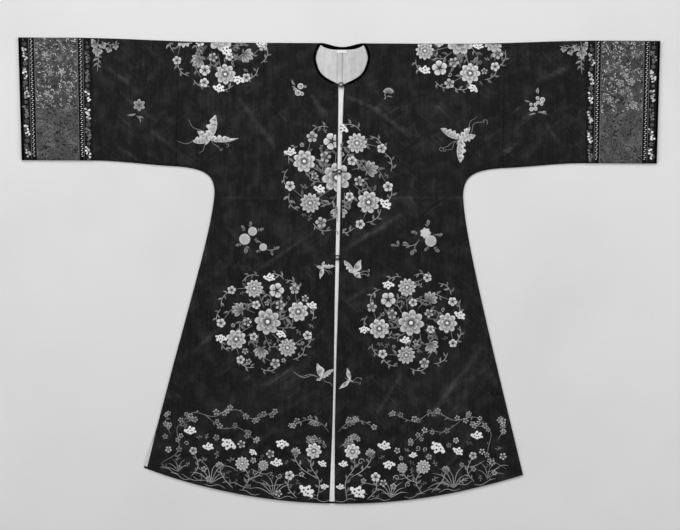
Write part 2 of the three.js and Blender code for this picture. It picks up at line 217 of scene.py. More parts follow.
class JacketEmbroidery(bpy.types.PropertyGroup):
    relief: bpy.props.FloatProperty(
        name="Relief", description="How far the satin stitches stand off the silk",
        default=0.0006, unit="LENGTH",
    )
    chest_radius: bpy.props.FloatProperty(
        name="Chest roundel", description="Radius of the roundel on the chest", default=0.129, unit="LENGTH"
    )
    lower_radius: bpy.props.FloatProperty(
        name="Lower roundels", description="Radius of the two roundels on the skirt",
        default=0.115, unit="LENGTH",
    )
    shoulder_radius: bpy.props.FloatProperty(
        name="Shoulder roundels", description="Radius of the roundels over the shoulders",
        default=0.117, unit="LENGTH",
    )


class JacketStage(bpy.types.PropertyGroup):
    floor_tone: bpy.props.FloatProperty(
        name="Floor", description="Grey of the floor", default=0.8, min=0, max=1, subtype="FACTOR"
    )
    camera_height: bpy.props.FloatProperty(
        name="Camera height", description="Height of the camera above the floor", default=5.0, unit="LENGTH"
    )
    view_width: bpy.props.FloatProperty(
        name="View width", description="Width of the floor that the picture takes in",
        default=1.5477, unit="LENGTH",
    )
    key_power: bpy.props.FloatProperty(
        name="Key light", description="Power of the soft light beyond the neck", default=86, unit="POWER"
    )
    fill_power: bpy.props.FloatProperty(
        name="Side lights", description="Power of each soft light at the sides", default=46, unit="POWER"
    )
    world_strength: bpy.props.FloatProperty(
        name="Room light", description="Strength of the even light of the room", default=0.2, min=0
    )


# Laying out


def smooth(x, low, high):
    t = np.clip((np.asarray(x, float) - low) / (high - low), 0, 1)
    return t * t * (3 - 2 * t)


def mix(a, b, t):
    return a + (b - a) * t


def shoulder_y(x):
    return SLEEVE_RISE * smooth(x, 250, 600)


def sleeve_seam_y(x):
    return -SLEEVE_DEPTH - SLEEVE_DEPTH_EXTRA * (1 - smooth(x, 340, 560))


def swing(x, down):
    return SKIRT_SWING * (SWING_PIVOT - down) * (1 - smooth(x, 300, 620))


def turn(down):
    return SLEEVE_TURN + SKIRT_TURN * np.clip((down - 300) / (BODY_LENGTH - 300), 0, 1)


# How far the frame's origin is below the shoulder fold: the frame's top is the top corner of the right cuff
SHOULDER_AT = CAD_BOX[1].y / MM - float(shoulder_y(CUFF_HALF)) - SLEEVE_TURN * CUFF_HALF


def lay(cut, side):
    """Where points of the cut lie, in millimetres of the frame."""
    cut = np.asarray(cut, float)
    x, down = cut[..., 0], -cut[..., 1]
    laid_x = side * x + swing(x, down)
    laid_y = SHOULDER_AT - down - turn(down) * side * x
    return np.stack([laid_x, laid_y], -1)


def unlay(x, y):
    """The cut's x and distance down for laid points, with the side that they are on."""
    side = np.where(x >= SKIRT_SWING * (SWING_PIVOT - SHOULDER_AT + y), 1, -1)
    cut_x, down = side * x, SHOULDER_AT - y
    for _ in range(3):
        cut_x = np.maximum(side * (x - swing(cut_x, down)), 0)
        down = SHOULDER_AT - y - turn(down) * side * cut_x
    return cut_x, down, side


def bezier(points, t):
    p = np.array(points, float)
    t = np.asarray(t, float)[..., None]
    s = 1 - t
    return s**3 * p[0] + 3 * s**2 * t * p[1] + 3 * s * t**2 * p[2] + t**3 * p[3]


def ridge(x, down, fold):
    """Height of one soft fold at laid points. It is highest in its middle."""
    along = np.array([fold.to_x - fold.x, fold.down - fold.to_down])
    from_x, from_y = x - fold.x, fold.down - down
    share = np.clip((from_x * along[0] + from_y * along[1]) / along.dot(along), 0, 1)
    off = np.hypot(from_x - share * along[0], from_y - share * along[1])
    return fold.rise * np.sin(math.pi * mix(0.18, 0.82, share)) * np.exp(-((off / fold.half) ** 2))


# Slow waves of the silk between its folds: each one's wave length, direction in degrees and height
WAVES = ((190, 24, 0.22), (131, 97, 0.18), (88, 151, 0.14), (61, 63, 0.09), (43, 118, 0.05))


def relief(x, y):
    """Height of the folds, creases and slow waves over the flat front, at laid points."""
    cut_x, down, _ = unlay(x, y)
    raw_down = SHOULDER_AT - y
    quiet = smooth(cut_x, 12, 45) * (1 - smooth(cut_x, 400, 540))
    near_neck = smooth(np.hypot(cut_x, NECK_DROP - down), 75, 130)
    large = np.zeros_like(cut_x)
    for fold in FOLDS:
        large = np.maximum(large, ridge(x, raw_down, fold))
    fine = np.zeros_like(cut_x)
    for fold in CREASES:
        fine += ridge(x, raw_down, fold)
    for length, degrees, rise in WAVES:
        angle = math.radians(degrees)
        fine += rise * np.sin(TAU * (x * math.cos(angle) + y * math.sin(angle)) / length + length)
    fade = smooth(cut_x, 8, 30) * (1 - smooth(cut_x, 540, 562))
    return large * quiet * near_neck + fine * fade * smooth(np.hypot(cut_x, NECK_DROP - down), 66, 90)


def crest_highlight(x, y):
    """Share of its tone that the silk gains from a painted highlight on the crests of the folds and creases,
    standing in for their sheen, at laid points.
    """
    down = SHOULDER_AT - y
    pale = np.zeros_like(x)
    for fold in CREASES:
        pale += 2.2 * np.maximum(ridge(x, down, fold._replace(half=0.6 * fold.half)), 0)
    for fold in FOLDS:
        pale += 0.14 * ridge(x, down, fold)
    return pale


def roll(distance, radius):
    """0 at a rim and 1 from radius in, along a quarter circle."""
    t = np.clip(distance / radius, 0, 1)
    return np.sqrt(1 - (1 - t) ** 2)


def rim_share(from_shoulder, from_seam, radius):
    return np.minimum(roll(from_shoulder, SHOULDER_ROLL), roll(from_seam, radius))


def rolled(share):
    """Height of the front's surface without its folds, from its rim to where it lies level."""
    return SEAM_RIM + (FRONT_OVER - SEAM_RIM) * share


def calmed(distance):
    """How much of the folds is left near a rim."""
    return smooth(distance, 2, 26)


def front_ground(x, y):
    """Height of the front's surface at laid points, for the embroidery on it."""
    cut_x, down, _ = unlay(x, y)
    from_shoulder = shoulder_y(cut_x) + down
    return rolled(roll(from_shoulder, SHOULDER_ROLL)) + relief(x, y) * calmed(from_shoulder)


def back_ground(x, y):
    """Height of the outside of the back, which faces the floor."""
    return np.full_like(np.asarray(x, float), BACK_RAISED)


def trim_ground(x, y):
    cut_x, down, _ = unlay(x, y)
    from_shoulder = shoulder_y(cut_x) + down
    from_seam = -sleeve_seam_y(cut_x) - down
    return rolled(rim_share(from_shoulder, from_seam, SLEEVE_ROLL)) + TRIM_OVER - FRONT_OVER


def trim_back_ground(x, y):
    return np.full_like(np.asarray(x, float), TRIM_RAISED)


# Grids of points on the cut

END_STEPS = (0, 0.2, 0.5, 1, 2, 3.5, 5.5, 8, 12)


def spread(length, step, near=END_STEPS):
    """Shares from 0 to 1 over a length: close together at both ends and step apart between them."""
    ends = np.array(near) / length
    count = max(3, round(length * (1 - 2 * ends[-1]) / step))
    middle = np.linspace(ends[-1], 1 - ends[-1], count)
    return np.concatenate([ends[:-1], middle, 1 - ends[:-1][::-1]])


def underarm(t):
    corner = float(sleeve_seam_y(LOOM_HALF))
    points = ((CHEST_HALF, -UNDERARM_DROP), (CHEST_HALF, -302), (302, -287), (LOOM_HALF, corner))
    return bezier(points, t)


def neck_point(radius, angle):
    """A point of the front neck, which is bluntly pointed at the opening. angle is 0 straight out."""
    low = -np.sin(angle)
    narrower = NECK_TAPER * smooth(low, -0.1, 0.3) + NECK_POINT * np.maximum(low, 0) ** 5
    return np.stack([radius * np.cos(angle) * (1 - narrower), -radius * low - NECK_DROP], -1)


def neck_start(radius, half):
    """The angle at which the neck meets the edge of the opening."""
    angles = np.linspace(-math.pi / 2, -math.pi / 4, 20001)
    return float(angles[np.argmax(neck_point(radius, angles)[:, 0] >= half)])


# The back neck's upper edge and the seam below its binding, as powers of the share out from the centre
BACK_NECK_TOP = (2, 1.8)
BACK_NECK_SEAM = (3.5, 1)


def back_neck(half, dip, share, flat, soft):
    return np.stack([half * share, -dip * (1 - np.abs(share) ** flat) ** soft], -1)


NECK_CUT = NECK_RADIUS + BINDING_WIDTH + SEAM_GAP
NECK_HALF = math.sqrt(NECK_CUT**2 - NECK_DROP**2)
NECK_FROM = neck_start(NECK_CUT, FRONT_GAP_HALF[0])
NECK_TO = math.asin(NECK_DROP / NECK_CUT)
BACK_NECK_CUT = BACK_NECK_DIP + BACK_BINDING_WIDTH + SEAM_GAP


def front_gap(y):
    """Half the opening's width at a height of the cut."""
    return np.interp(-y, FRONT_GAP_DOWN, FRONT_GAP_HALF)


def back_seam(y):
    return y * 0 + SEAM_GAP / 2


# The lengths by which a half body's rows are counted, and the shares of the underarm that three fan over
SPANS = {"skirt": 650, "edge": 240, "neck": 132, "shoulder": 320, "across": 400}
FAN_SHARES = (0.28, 0.32, 0.4)


def body_grid(front, step, hem_inset=0, side_inset=0, slip=0, near=END_STEPS):
    """Cut points of half the body, in rows that go up the skirt and then fan round the underarm."""
    skirt = spread(SPANS["skirt"], step)
    outer = bezier(SIDE_SEAM, skirt)
    share = (outer[:, 1] + BODY_LENGTH - HEM_RISE) / (BODY_LENGTH - HEM_RISE - UNDERARM_DROP)
    lift = hem_inset * (1 - share)
    inner_y = mix(-BODY_LENGTH, -UNDERARM_DROP, share) + lift
    outer[:, 0] += slip * smooth(-outer[:, 1], 870, BODY_LENGTH - HEM_RISE) - side_inset
    outer[:, 1] += lift
    gap = front_gap if front else back_seam
    rows = [(np.stack([gap(inner_y), inner_y], -1), outer)]
    neck_foot = neck_point(NECK_CUT, NECK_FROM)[1] if front else -BACK_NECK_CUT
    centre_y = np.linspace(-UNDERARM_DROP, neck_foot, max(4, round(SPANS["edge"] / step)))[1:]
    rows.append((np.stack([gap(centre_y), centre_y], -1), len(centre_y)))
    t = np.linspace(0, 1, max(22, round(SPANS["neck"] / step)))[1:]
    if front:
        neck = neck_point(NECK_CUT, mix(NECK_FROM, NECK_TO, t))
    else:
        neck = back_neck(NECK_HALF, BACK_NECK_CUT, t, *BACK_NECK_SEAM)
    rows.append((neck, len(neck)))
    out = mix(NECK_HALF, LOOM_HALF - SEAM_GAP / 2, spread(SPANS["shoulder"], step)[1:])
    rows.append((np.stack([out, shoulder_y(out) - side_inset], -1), len(out)))
    turned = 0.0
    inners, outers = [rows[0][0]], [outer]
    for (inner, count), part in zip(rows[1:], FAN_SHARES):
        t = turned + part * np.arange(1, count + 1) / count
        edge = underarm(t)
        edge[:, 0] = np.minimum(edge[:, 0] - side_inset * (1 - t), LOOM_HALF - SEAM_GAP / 2)
        edge[:, 1] += side_inset * smooth(t, 0, 0.5)
        inners.append(inner)
        outers.append(edge)
        turned += part
    inner, outer = np.concatenate(inners), np.concatenate(outers)
    bow = np.where(np.arange(len(inner)) < len(skirt), 2.0, 1.0)
    v = spread(SPANS["across"], step, near)
    width = np.hypot(*(outer - inner).T)[:, None]
    x = mix(inner[:, :1], outer[:, :1], v[None, :])
    y = mix(inner[:, 1:], outer[:, 1:], v[None, :] ** bow[:, None])
    points = np.stack([x, y], -1)
    return {
        "points": points,
        "from_inner": v[None, :] * width,
        "from_outer": (1 - v[None, :]) * width,
        "from_hem": np.linalg.norm(points - points[:1], axis=2),
    }


def sleeve_grid(start, end, step_x, step_y):
    """Cut points of a stretch of sleeve, between two distances in from the cuff's edge."""
    reach = CUFF_HALF - LOOM_HALF
    length = end - start
    near = (0, 0.2, 0.5, 1) if length < 30 else (0, 0.2, 0.5, 1, 2, 4)
    share = 1 - (start + length * spread(length, step_x, near)[::-1]) / reach
    top_x = mix(LOOM_HALF, CUFF_HALF, share)
    low_x = mix(LOOM_HALF, CUFF_HALF - CUFF_SLANT, share)
    v = spread(SLEEVE_DEPTH, step_y)
    top = np.stack([top_x, shoulder_y(top_x)], -1)
    low = np.stack([low_x, sleeve_seam_y(low_x)], -1)
    points = mix(top[:, None, :], low[:, None, :], v[None, :, None])
    width = (top - low)[:, 1][:, None]
    return {
        "points": points,
        "from_shoulder": v[None, :] * width,
        "from_outer": (1 - v[None, :]) * width,
        "from_ends": np.minimum(*(np.abs(points[..., 0] - points[k, :, 0]) for k in (0, -1))),
    }


# Cloth meshes


def finish_piece(piece, material, nodes=()):
    """Gives a piece its finish and its place on the jacket, and hides the frame's nodes that it stands for.
    """
    if not piece.data.materials:
        piece.data.materials.append(material)
    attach(piece, "root")
    if nodes:
        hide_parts(*nodes)
    return piece


PIECES = {}


def new_piece(name, points, faces, tones=None, threads=None):
    """A mesh kept under its name. The frame's nodes keep theirs, so what stands for one is named apart."""
    full_name = name + "_shown" if name in bpy.data.objects else name
    mesh = bpy.data.meshes.new(full_name)
    mesh.from_pydata((np.asarray(points) * MM).tolist(), [], faces)
    if tones is not None:
        mesh.attributes.new("tone", "FLOAT", "POINT").data.foreach_set("value", np.asarray(tones, np.float32))
    if threads is not None:
        corners = np.zeros(len(mesh.loops), np.int32)
        mesh.loops.foreach_get("vertex_index", corners)
        layer = mesh.uv_layers.new(name="thread")
        layer.data.foreach_set("uv", np.asarray(threads, np.float32)[corners].ravel())
    mesh.shade_smooth()
    mesh.validate()
    piece = bpy.data.objects.new(full_name, mesh)
    bpy.context.scene.collection.objects.link(piece)
    PIECES[name] = piece
    return piece


def cloth(name, cut, over, under, side, tones=None):
    """A closed thin wall over a grid of points of the cut, laid out."""
    rows, columns = over.shape
    at = np.arange(rows * columns).reshape(rows, columns)
    quads = np.stack([at[:-1, :-1], at[:-1, 1:], at[1:, 1:], at[1:, :-1]], -1).reshape(-1, 4)
    ring = np.concatenate([at[0, :], at[1:, -1], at[-1, -2::-1], at[-2:0:-1, 0]])
    following = np.roll(ring, -1)
    low = at.size
    rim = np.stack([low + ring, low + following, following, ring], -1)
    faces = np.concatenate([quads, low + quads[:, ::-1], rim])
    if side < 0:
        faces = faces[:, ::-1]
    laid = lay(cut, side)
    top = np.concatenate([laid, over[..., None]], -1).reshape(-1, 3)
    bottom = np.concatenate([laid, under[..., None]], -1).reshape(-1, 3)
    if tones is None:
        tones = np.ones((rows, columns))
    shade = np.concatenate([tones.ravel(), tones.ravel()])
    return new_piece(name, np.concatenate([top, bottom]), faces.tolist(), shade)


def free_edge(over, under, distance, thick=1.3):
    """Rounds a free edge of the cloth over a distance of half its thickness."""
    tuck = 0.42 * thick * (1 - roll(distance, 0.6 * thick))
    return over - tuck, under + tuck


# Needlework

# Cross sections of the stitches, across and up, in shares of the half width and of the height
PETAL_SECTION = np.array([(-1, 0), (-0.84, 0.55), (-0.5, 0.9), (0, 1), (0.5, 0.9), (0.84, 0.55), (1, 0)])
LEAF_SECTION = np.array([(-1, 0), (-0.5, 0.85), (0, 0.7), (0.5, 0.85), (1, 0)])
CORD_SECTION = np.array([(-1, 0), (-0.5, 0.85), (0.5, 0.85), (1, 0)])
LEAF_SHADES = np.array([0.8, 1.3, 0.2, 0.8, 0.5])
VOID = 0.012  # tone of the fine line of bare silk between two fields of stitches
CORD_LIFT = 0.05
UNDER_SHARE = 0.35  # the stitches are pressed this flat where the jacket lies on them

# Flowers seen from above: rings of petals from the outside in, each with its share of the radius and its
# petals, how full a ring is, the tones of a petal and of the heart, and how late a petal turns pale
Bloom = namedtuple("Bloom", "rings full root tip edge heart fade")
FLOWERS = {
    "peony": Bloom(((1.0, 8), (0.6, 6)), 0.76, 0.01, 0.94, 0.96, 0.95, 1.9),
    "aster": Bloom(((1.0, 11), (0.52, 7)), 0.74, 0.01, 0.85, 0.96, 0.9, 1.6),
    "blossom": Bloom(((1.0, 5),), 0.76, 0.4, 0.96, 0.96, 0.01, 1.3),
    "star": Bloom(((1.0, 5),), 0.6, 0.1, 0.85, 0.6, 0.2, 1.3),
    "dim": Bloom(((1.0, 5),), 0.66, 0.1, 0.36, 0.36, 0.3, 1.3),
}

# Lobes and holes of a pierced cloud, by place and radius in shares of its size
CLOUD_LOBES = (
    (-0.78, 0.3, 0.3), (-0.42, 0.02, 0.42), (0.02, 0.2, 0.44), (0.3, -0.3, 0.38),
    (0.66, 0.1, 0.3), (-0.1, -0.42, 0.3), (0.18, 0.58, 0.24), (0.74, -0.5, 0.22),
)
CLOUD_HOLES = ((-0.4, 0.06, 0.15), (0.12, 0.26, 0.17), (0.22, -0.28, 0.14), (-0.1, -0.2, 0.1))


def along(points, count):
    """A smooth curve through a few points, as count points."""
    p = np.asarray(points, float)
    p = np.concatenate([2 * p[:1] - p[1:2], p, 2 * p[-1:] - p[-2:-1]])
    u = np.linspace(0, len(points) - 1 - 1e-9, count)
    k = u.astype(int)
    t = (u - k)[:, None]
    a, b, c, d = p[k], p[k + 1], p[k + 2], p[k + 3]
    return 0.5 * (2 * b + (c - a) * t + (2 * a - 5 * b + 4 * c - d) * t**2 + (3 * b - a - 3 * c + d) * t**3)


def polar(x, y, angle, distance):
    return np.array([x + distance * math.cos(angle), y + distance * math.sin(angle)])


def heading(path):
    return math.atan2(path[-1][1] - path[-3][1], path[-1][0] - path[-3][0])


def bowed(x, y, angle, out, side):
    """Points at distances out along a heading and off to its left."""
    cos, sin = math.cos(angle), math.sin(angle)
    return np.stack([x + out * cos - side * sin, y + out * sin + side * cos], -1)


class Needlework:
    """Raised stitches and couched cords, gathered into one mesh. Places are laid millimetres."""

    def __init__(self, rise):
        self.rise = rise
        self.points, self.tones, self.threads = [], [], []
        self.quads, self.triangles, self.count = [], [], 0
        self.taken = []

    def strip(self, path, half_widths, tones, lift=0.0, rise=None, section=PETAL_SECTION):
        """A closed strip along a path. half_widths has one number a point, or one for each side of it."""
        path = np.asarray(path, float)
        step = np.gradient(path, axis=0)
        step /= np.maximum(np.linalg.norm(step, axis=1), 1e-9)[:, None]
        normal = np.stack([-step[:, 1], step[:, 0]], 1)
        half = np.asarray(half_widths, float).reshape(len(path), -1)
        off = np.where(section[None, :, 0] < 0, half[:, :1], half[:, -1:]) * section[None, :, 0]
        rows, columns = off.shape
        place = path[:, None, :] + normal[:, None, :] * off[..., None]
        swell = (half.sum(1) / half.sum(1).max())[:, None] ** 0.5
        height = lift + section[None, :, 1] * (self.rise if rise is None else rise) * swell
        length = np.concatenate([[0], np.cumsum(np.linalg.norm(np.diff(path, axis=0), axis=1))])
        threads = np.stack([off, np.broadcast_to(length[:, None], off.shape)], -1)
        at = self.count + np.arange(rows * columns).reshape(rows, columns)
        self.quads.append(np.stack([at[:-1, :-1], at[1:, :-1], at[1:, 1:], at[:-1, 1:]], -1).reshape(-1, 4))
        self.quads.append(np.stack([at[:-1, 0], at[:-1, -1], at[1:, -1], at[1:, 0]], -1))
        for j in range(1, columns - 1):
            self.triangles.append([at[0, 0], at[0, j], at[0, j + 1]])
            self.triangles.append([at[-1, 0], at[-1, j + 1], at[-1, j]])
        self.add(np.concatenate([place, height[..., None]], -1), np.broadcast_to(tones, off.shape), threads)

    def add(self, points, tones, threads):
        self.points.append(points.reshape(-1, 3))
        self.tones.append(np.asarray(tones, float).ravel())
        self.threads.append(threads.reshape(-1, 2))
        self.count += len(self.points[-1])

    def dome(self, x, y, radius, tone, edge=None, lift=0.0, rise=None, sides=12, lobes=0):
        """A round filled with satin stitch, with a scalloped edge where lobes is set."""
        rise = self.rise if rise is None else rise
        angle = np.arange(sides) * TAU / sides
        reach = radius * (1 + (0.13 if lobes else 0) * np.cos(lobes * angle))
        rings = []
        for share, height in ((1, 0), (0.84, 0.62), (0.5, 0.92)):
            out = reach * share
            level = np.full(sides, lift + rise * height)
            rings.append(np.stack([x + out * np.cos(angle), y + out * np.sin(angle), level], -1))
        points = np.concatenate([*rings, [[x, y, lift], [x, y, lift + rise]]])
        first, ring = self.count, np.arange(sides)
        following = (ring + 1) % sides
        for k in (0, 1):
            low, high = first + k * sides, first + (k + 1) * sides
            self.quads.append(np.stack([low + ring, low + following, high + following, high + ring], -1))
        low, bottom = first + 2 * sides, first + 3 * sides
        self.triangles.extend([low + a, low + b, bottom + 1] for a, b in zip(ring, following))
        self.triangles.extend([first + b, first + a, bottom] for a, b in zip(ring, following))
        shades = (VOID, tone if edge is None else edge, tone)
        self.add(points, np.concatenate([np.repeat(shades, sides), [VOID, tone]]), points[:, :2] - [x, y])

    def petal(self, x, y, angle, length, width, root, tip, edge, lift=0.0, bend=0.0, fade=1.3):
        """A round-ended petal, shaded from its root to its tip, with a pale edge and a dark line round it."""
        t = np.linspace(0, 1, 7 if length > 6 else 5)
        half = np.sin(math.pi * np.clip(t, 0.05, 0.97) ** 1.45) ** 0.62 * width / 2
        path = bowed(x, y, angle, length * t, bend * length * np.sin(math.pi * t / 2) ** 2)
        tones = np.repeat(mix(root, tip, t**fade)[:, None], 7, axis=1)
        tones[:, [1, 5]] = mix(root, edge, t ** (0.46 * fade))[:, None]
        tones[:, [0, 6]] = VOID
        tones[-1] = edge * 0.6
        self.strip(path, half, tones, lift)

    def leaf(self, x, y, angle, length, width, tone, bend=0.1):
        t = np.linspace(0, 1, 6)
        half = np.sin(math.pi * np.clip(t, 0.04, 0.98) ** 0.8) * width / 2
        path = bowed(x, y, angle, length * t, bend * length * np.sin(math.pi * t))
        self.strip(path, half, tone * LEAF_SHADES, section=LEAF_SECTION)

    def cord(self, points, width, tone, count=None, taper=0.4):
        """A couched cord or a line of stem stitch, thinner at its ends."""
        path = along(points, count or max(5, 4 * len(points)))
        half = width / 2 * mix(taper, 1.0, np.sin(math.pi * np.linspace(0, 1, len(path))) ** 0.5)
        self.strip(path, half, tone, CORD_LIFT, self.rise * 0.75, CORD_SECTION)
        return path

    def curl(self, x, y, radius, turned, hand, width, tone, turns=1.15, count=14, lift=CORD_LIFT):
        """A tendril that winds in to a point."""
        t = np.linspace(0, 1, count)
        angle = turned + hand * turns * TAU * t
        reach = radius * (1 - 0.82 * t)
        path = np.stack([x + reach * np.cos(angle), y + reach * np.sin(angle)], -1)
        self.strip(path, width / 2 * (1 - 0.4 * t), tone, lift, self.rise * 0.75, CORD_SECTION)

    def flower(self, kind, x, y, size, turned=0.0, shade=1.0):
        row = FLOWERS[kind]
        root, tip, edge = shade * row.root, shade * row.tip, shade * row.edge
        for level, (share, petals) in enumerate(row.rings):
            reach, lift = size * share, 0.4 * level * self.rise
            width = 2 * reach * math.sin(math.pi / petals) * row.full
            for k in range(petals):
                angle = turned + 0.4 * level + TAU * k / petals
                foot = polar(x, y, angle, reach * 0.2)
                self.petal(*foot, angle, reach * 0.8, width, root, tip, edge, lift, 0.05, row.fade)
        self.dome(x, y, size * 0.17, row.heart, lift=0.4 * len(row.rings) * self.rise, sides=8)

    def fan(self, x, y, size, angle, shade=1.0, petals=5):
        """A flower seen from the side, on its sepals."""
        width, tones = size * 1.9 / petals, (0.03 * shade, 0.4 * shade, 0.95 * shade)
        for k in range(petals):
            share = 2 * k / (petals - 1) - 1
            length = size * (1 - 0.2 * abs(share))
            self.petal(x, y, angle + 1.05 * share, length, width, *tones, 0.3 * self.rise * (k % 2))
        for hand in (-1, 1):
            self.leaf(x, y, angle + 2.1 * hand, size * 0.5, size * 0.2, 0.26)

    def sprig(self, x, y, angle, size, tone):
        tip = polar(x, y, angle, size)
        self.cord([(x, y), polar(x, y, angle + 0.3, size * 0.5), tip], 1.1, tone, count=5)
        for share, turned in ((0.2, 0.95), (0.4, -0.95), (0.68, 0.8), (0.9, -0.5)):
            self.leaf(*polar(x, y, angle + 0.1, size * share), angle + turned, size * 0.5, size * 0.2, tone)

    def branch(self, points, width, tone, leaves, leaf, leaf_tone, pick):
        """A stem with leaves set along it by turns. It gives back its path."""
        path = self.cord(points, width, tone, count=6 * len(points), taper=0.5)
        for k in range(leaves):
            at = int(mix(0.12, 0.94, (k + 0.5) / leaves) * (len(path) - 2))
            hand, size = (1 if k % 2 else -1), leaf * pick.uniform(0.75, 1.2)
            angle = math.atan2(*(path[at + 1] - path[at])[::-1]) + hand * pick.uniform(0.55, 1.1)
            self.leaf(*path[at], angle, size, size * 0.4, leaf_tone * pick.uniform(0.6, 1.5), 0.1 * hand)
        self.taken.extend((x, y, 1.5) for x, y in path)
        return path

    def cloud(self, x, y, size, turned=0.0):
        """A pierced cloud: white lobes of several sizes run together, with dark holes through them."""
        for k, (across, up, share) in enumerate(CLOUD_LOBES):
            place = polar(*polar(x, y, turned, size * across), turned + math.pi / 2, size * up)
            self.dome(*place, size * share, 0.9, 0.95, lift=0.02 * (k % 3), lobes=5 if k % 2 else 0, sides=15)
        for across, up, share in CLOUD_HOLES:
            place = polar(*polar(x, y, turned, size * across), turned + math.pi / 2, size * up)
            self.dome(*place, size * share, VOID, lift=self.rise * 0.7, rise=self.rise * 0.6, sides=9)
        self.taken.append((x, y, size))

    def tuft(self, x, y, height, blades, lean, tone, pick):
        """Long arching leaves from one root."""
        for k in range(blades):
            angle = math.pi / 2 + lean + mix(-0.95, 0.95, k / max(1, blades - 1))
            reach = height * pick.uniform(0.7, 1.05)
            middle = polar(x, y, angle, reach * 0.6)
            fall = -0.55 if math.cos(angle) < 0 else 0.55
            path = along([(x, y), middle, polar(*middle, angle - fall, reach * 0.45)], 9)
            half = height * 0.017 * np.sin(math.pi * np.linspace(0.08, 0.97, 9) ** 0.8)
            self.strip(path, half, [tone * 0.6, tone, tone, tone * 0.6], section=CORD_SECTION)

    def wing(self, x, y, angle, length, width, lobes, tone=0.5):
        """A wing with a smooth leading edge and a scalloped one, on its left where width is positive."""
        t = np.linspace(0, 1, 17)
        shape = np.sin(math.pi * np.clip(t, 0.04, 0.97) ** 0.85) ** 0.62
        notch = 1 - 0.42 * np.abs(np.cos(math.pi * lobes * t)) ** 4
        half = np.stack([0.16 * shape, 0.84 * shape * notch], -1) * abs(width)
        path = bowed(x, y, angle, length * t, -0.1 * length * np.sin(math.pi * t) * math.copysign(1, width))
        ribs = 1 + 0.5 * np.sin(TAU * lobes * 1.5 * t)
        cells = 0.12 + tone * np.sin(TAU * lobes * t + 0.6) ** 2
        tones = [0.3 + 0 * t, 0.95 - 0.3 * t, 0.5 * ribs, cells, tone * ribs, 0.92 - 0.2 * t, 0.5 + 0 * t]
        tones = np.stack(tones, -1)
        if width < 0:
            half, tones = half[:, ::-1], tones[:, ::-1]
        self.strip(path, half, tones, 0.1 * self.rise)

    def butterfly(self, row):
        """Scalloped wings, a pale body, feelers and curled tails."""
        x, y = row.at
        for degrees, length, width, lobes in row.wings:
            self.wing(x, y, math.radians(degrees), length, width, lobes)
        for degrees, length, curled in row.lines:
            angle = math.radians(degrees)
            start, far = polar(x, y, angle, length * 0.12), polar(x, y, angle, length)
            near = polar(x, y, angle - 0.1, length * 0.4)
            middle = polar(x, y, angle + 0.14 + 0.1 * curled, length * 0.7)
            self.cord([start, near, middle, far], row.fine, 0.28, count=12)
            if curled:
                self.curl(*far, length * 0.12, angle - 1.5 * curled, curled, row.fine, 0.36, 0.85, 9)
        angle, half = math.radians(row.body), row.length / 2
        path = along([polar(x, y, angle, -half), (x, y), polar(x, y, angle + 0.3, half)], 8)
        width = row.length * 0.085 * np.array([0.4, 0.8, 1, 0.8, 0.8, 1, 1, 0.5])
        bands = np.where(np.arange(8) % 2, 0.75, 0.45)[:, None]
        self.strip(path, width, np.repeat(bands, 7, axis=1), self.rise * 0.7)

    def scatter(self, somewhere, tries, size, tone, pick):
        """Fills the room that the larger motifs leave with sprigs, buds and small blossoms."""
        for _ in range(tries):
            x, y = somewhere(pick)
            reach = size * pick.uniform(0.7, 1.15)
            if any((x - a) ** 2 + (y - b) ** 2 < (r + reach * 0.68) ** 2 for a, b, r in self.taken):
                continue
            self.taken.append((x, y, reach * 0.68))
            kind, angle = pick.random(), pick.uniform(0, TAU)
            if kind < 0.46:
                self.sprig(*polar(x, y, angle, -reach * 0.5), angle, reach, tone * pick.uniform(0.5, 1.7))
            elif kind < 0.68:
                self.flower("dim", x, y, reach * 0.5, angle, pick.uniform(0.5, 2.2))
            elif kind < 0.84:
                self.curl(x, y, reach * 0.5, angle, pick.choice((-1, 1)), 1.5, min(0.9, tone * 2.6))
            else:
                self.flower("star", x, y, reach * 0.6, angle)

    def moved(self, ground, under=False):
        """All points with the ground's height added, and the faces."""
        points = np.concatenate(self.points)
        level = ground(points[:, 0], points[:, 1])
        quads, triangles = np.concatenate(self.quads), np.array(self.triangles).reshape(-1, 3)
        if under:
            points[:, 2] = np.maximum(level - points[:, 2] * UNDER_SHARE, 0.02)
            quads, triangles = quads[:, ::-1], triangles[:, ::-1]
        else:
            points[:, 2] += level
        return points, quads.tolist() + triangles.tolist()

    def piece(self, name, ground, under=False):
        points, faces = self.moved(ground, under)
        tones = np.minimum(np.concatenate(self.tones), 0.96)
        return new_piece(name, points, faces, tones, np.concatenate(self.threads))


def trim_piece(piece, point, normal):
    """Cuts a piece off along an upright plane and closes it."""
    bm = bmesh.new()
    bm.from_mesh(piece.data)
    co, no = Vector((*point, 0)) * MM, Vector((*normal, 0)).normalized()
    geometry = bm.verts[:] + bm.edges[:] + bm.faces[:]
    cut = bmesh.ops.bisect_plane(bm, geom=geometry, plane_co=co, plane_no=no, clear_outer=True)
    rim = [edge for edge in cut["geom_cut"] if isinstance(edge, bmesh.types.BMEdge)]
    bmesh.ops.holes_fill(bm, edges=rim, sides=0)
    bm.to_mesh(piece.data)
    bm.free()


# Patterns of the embroidery

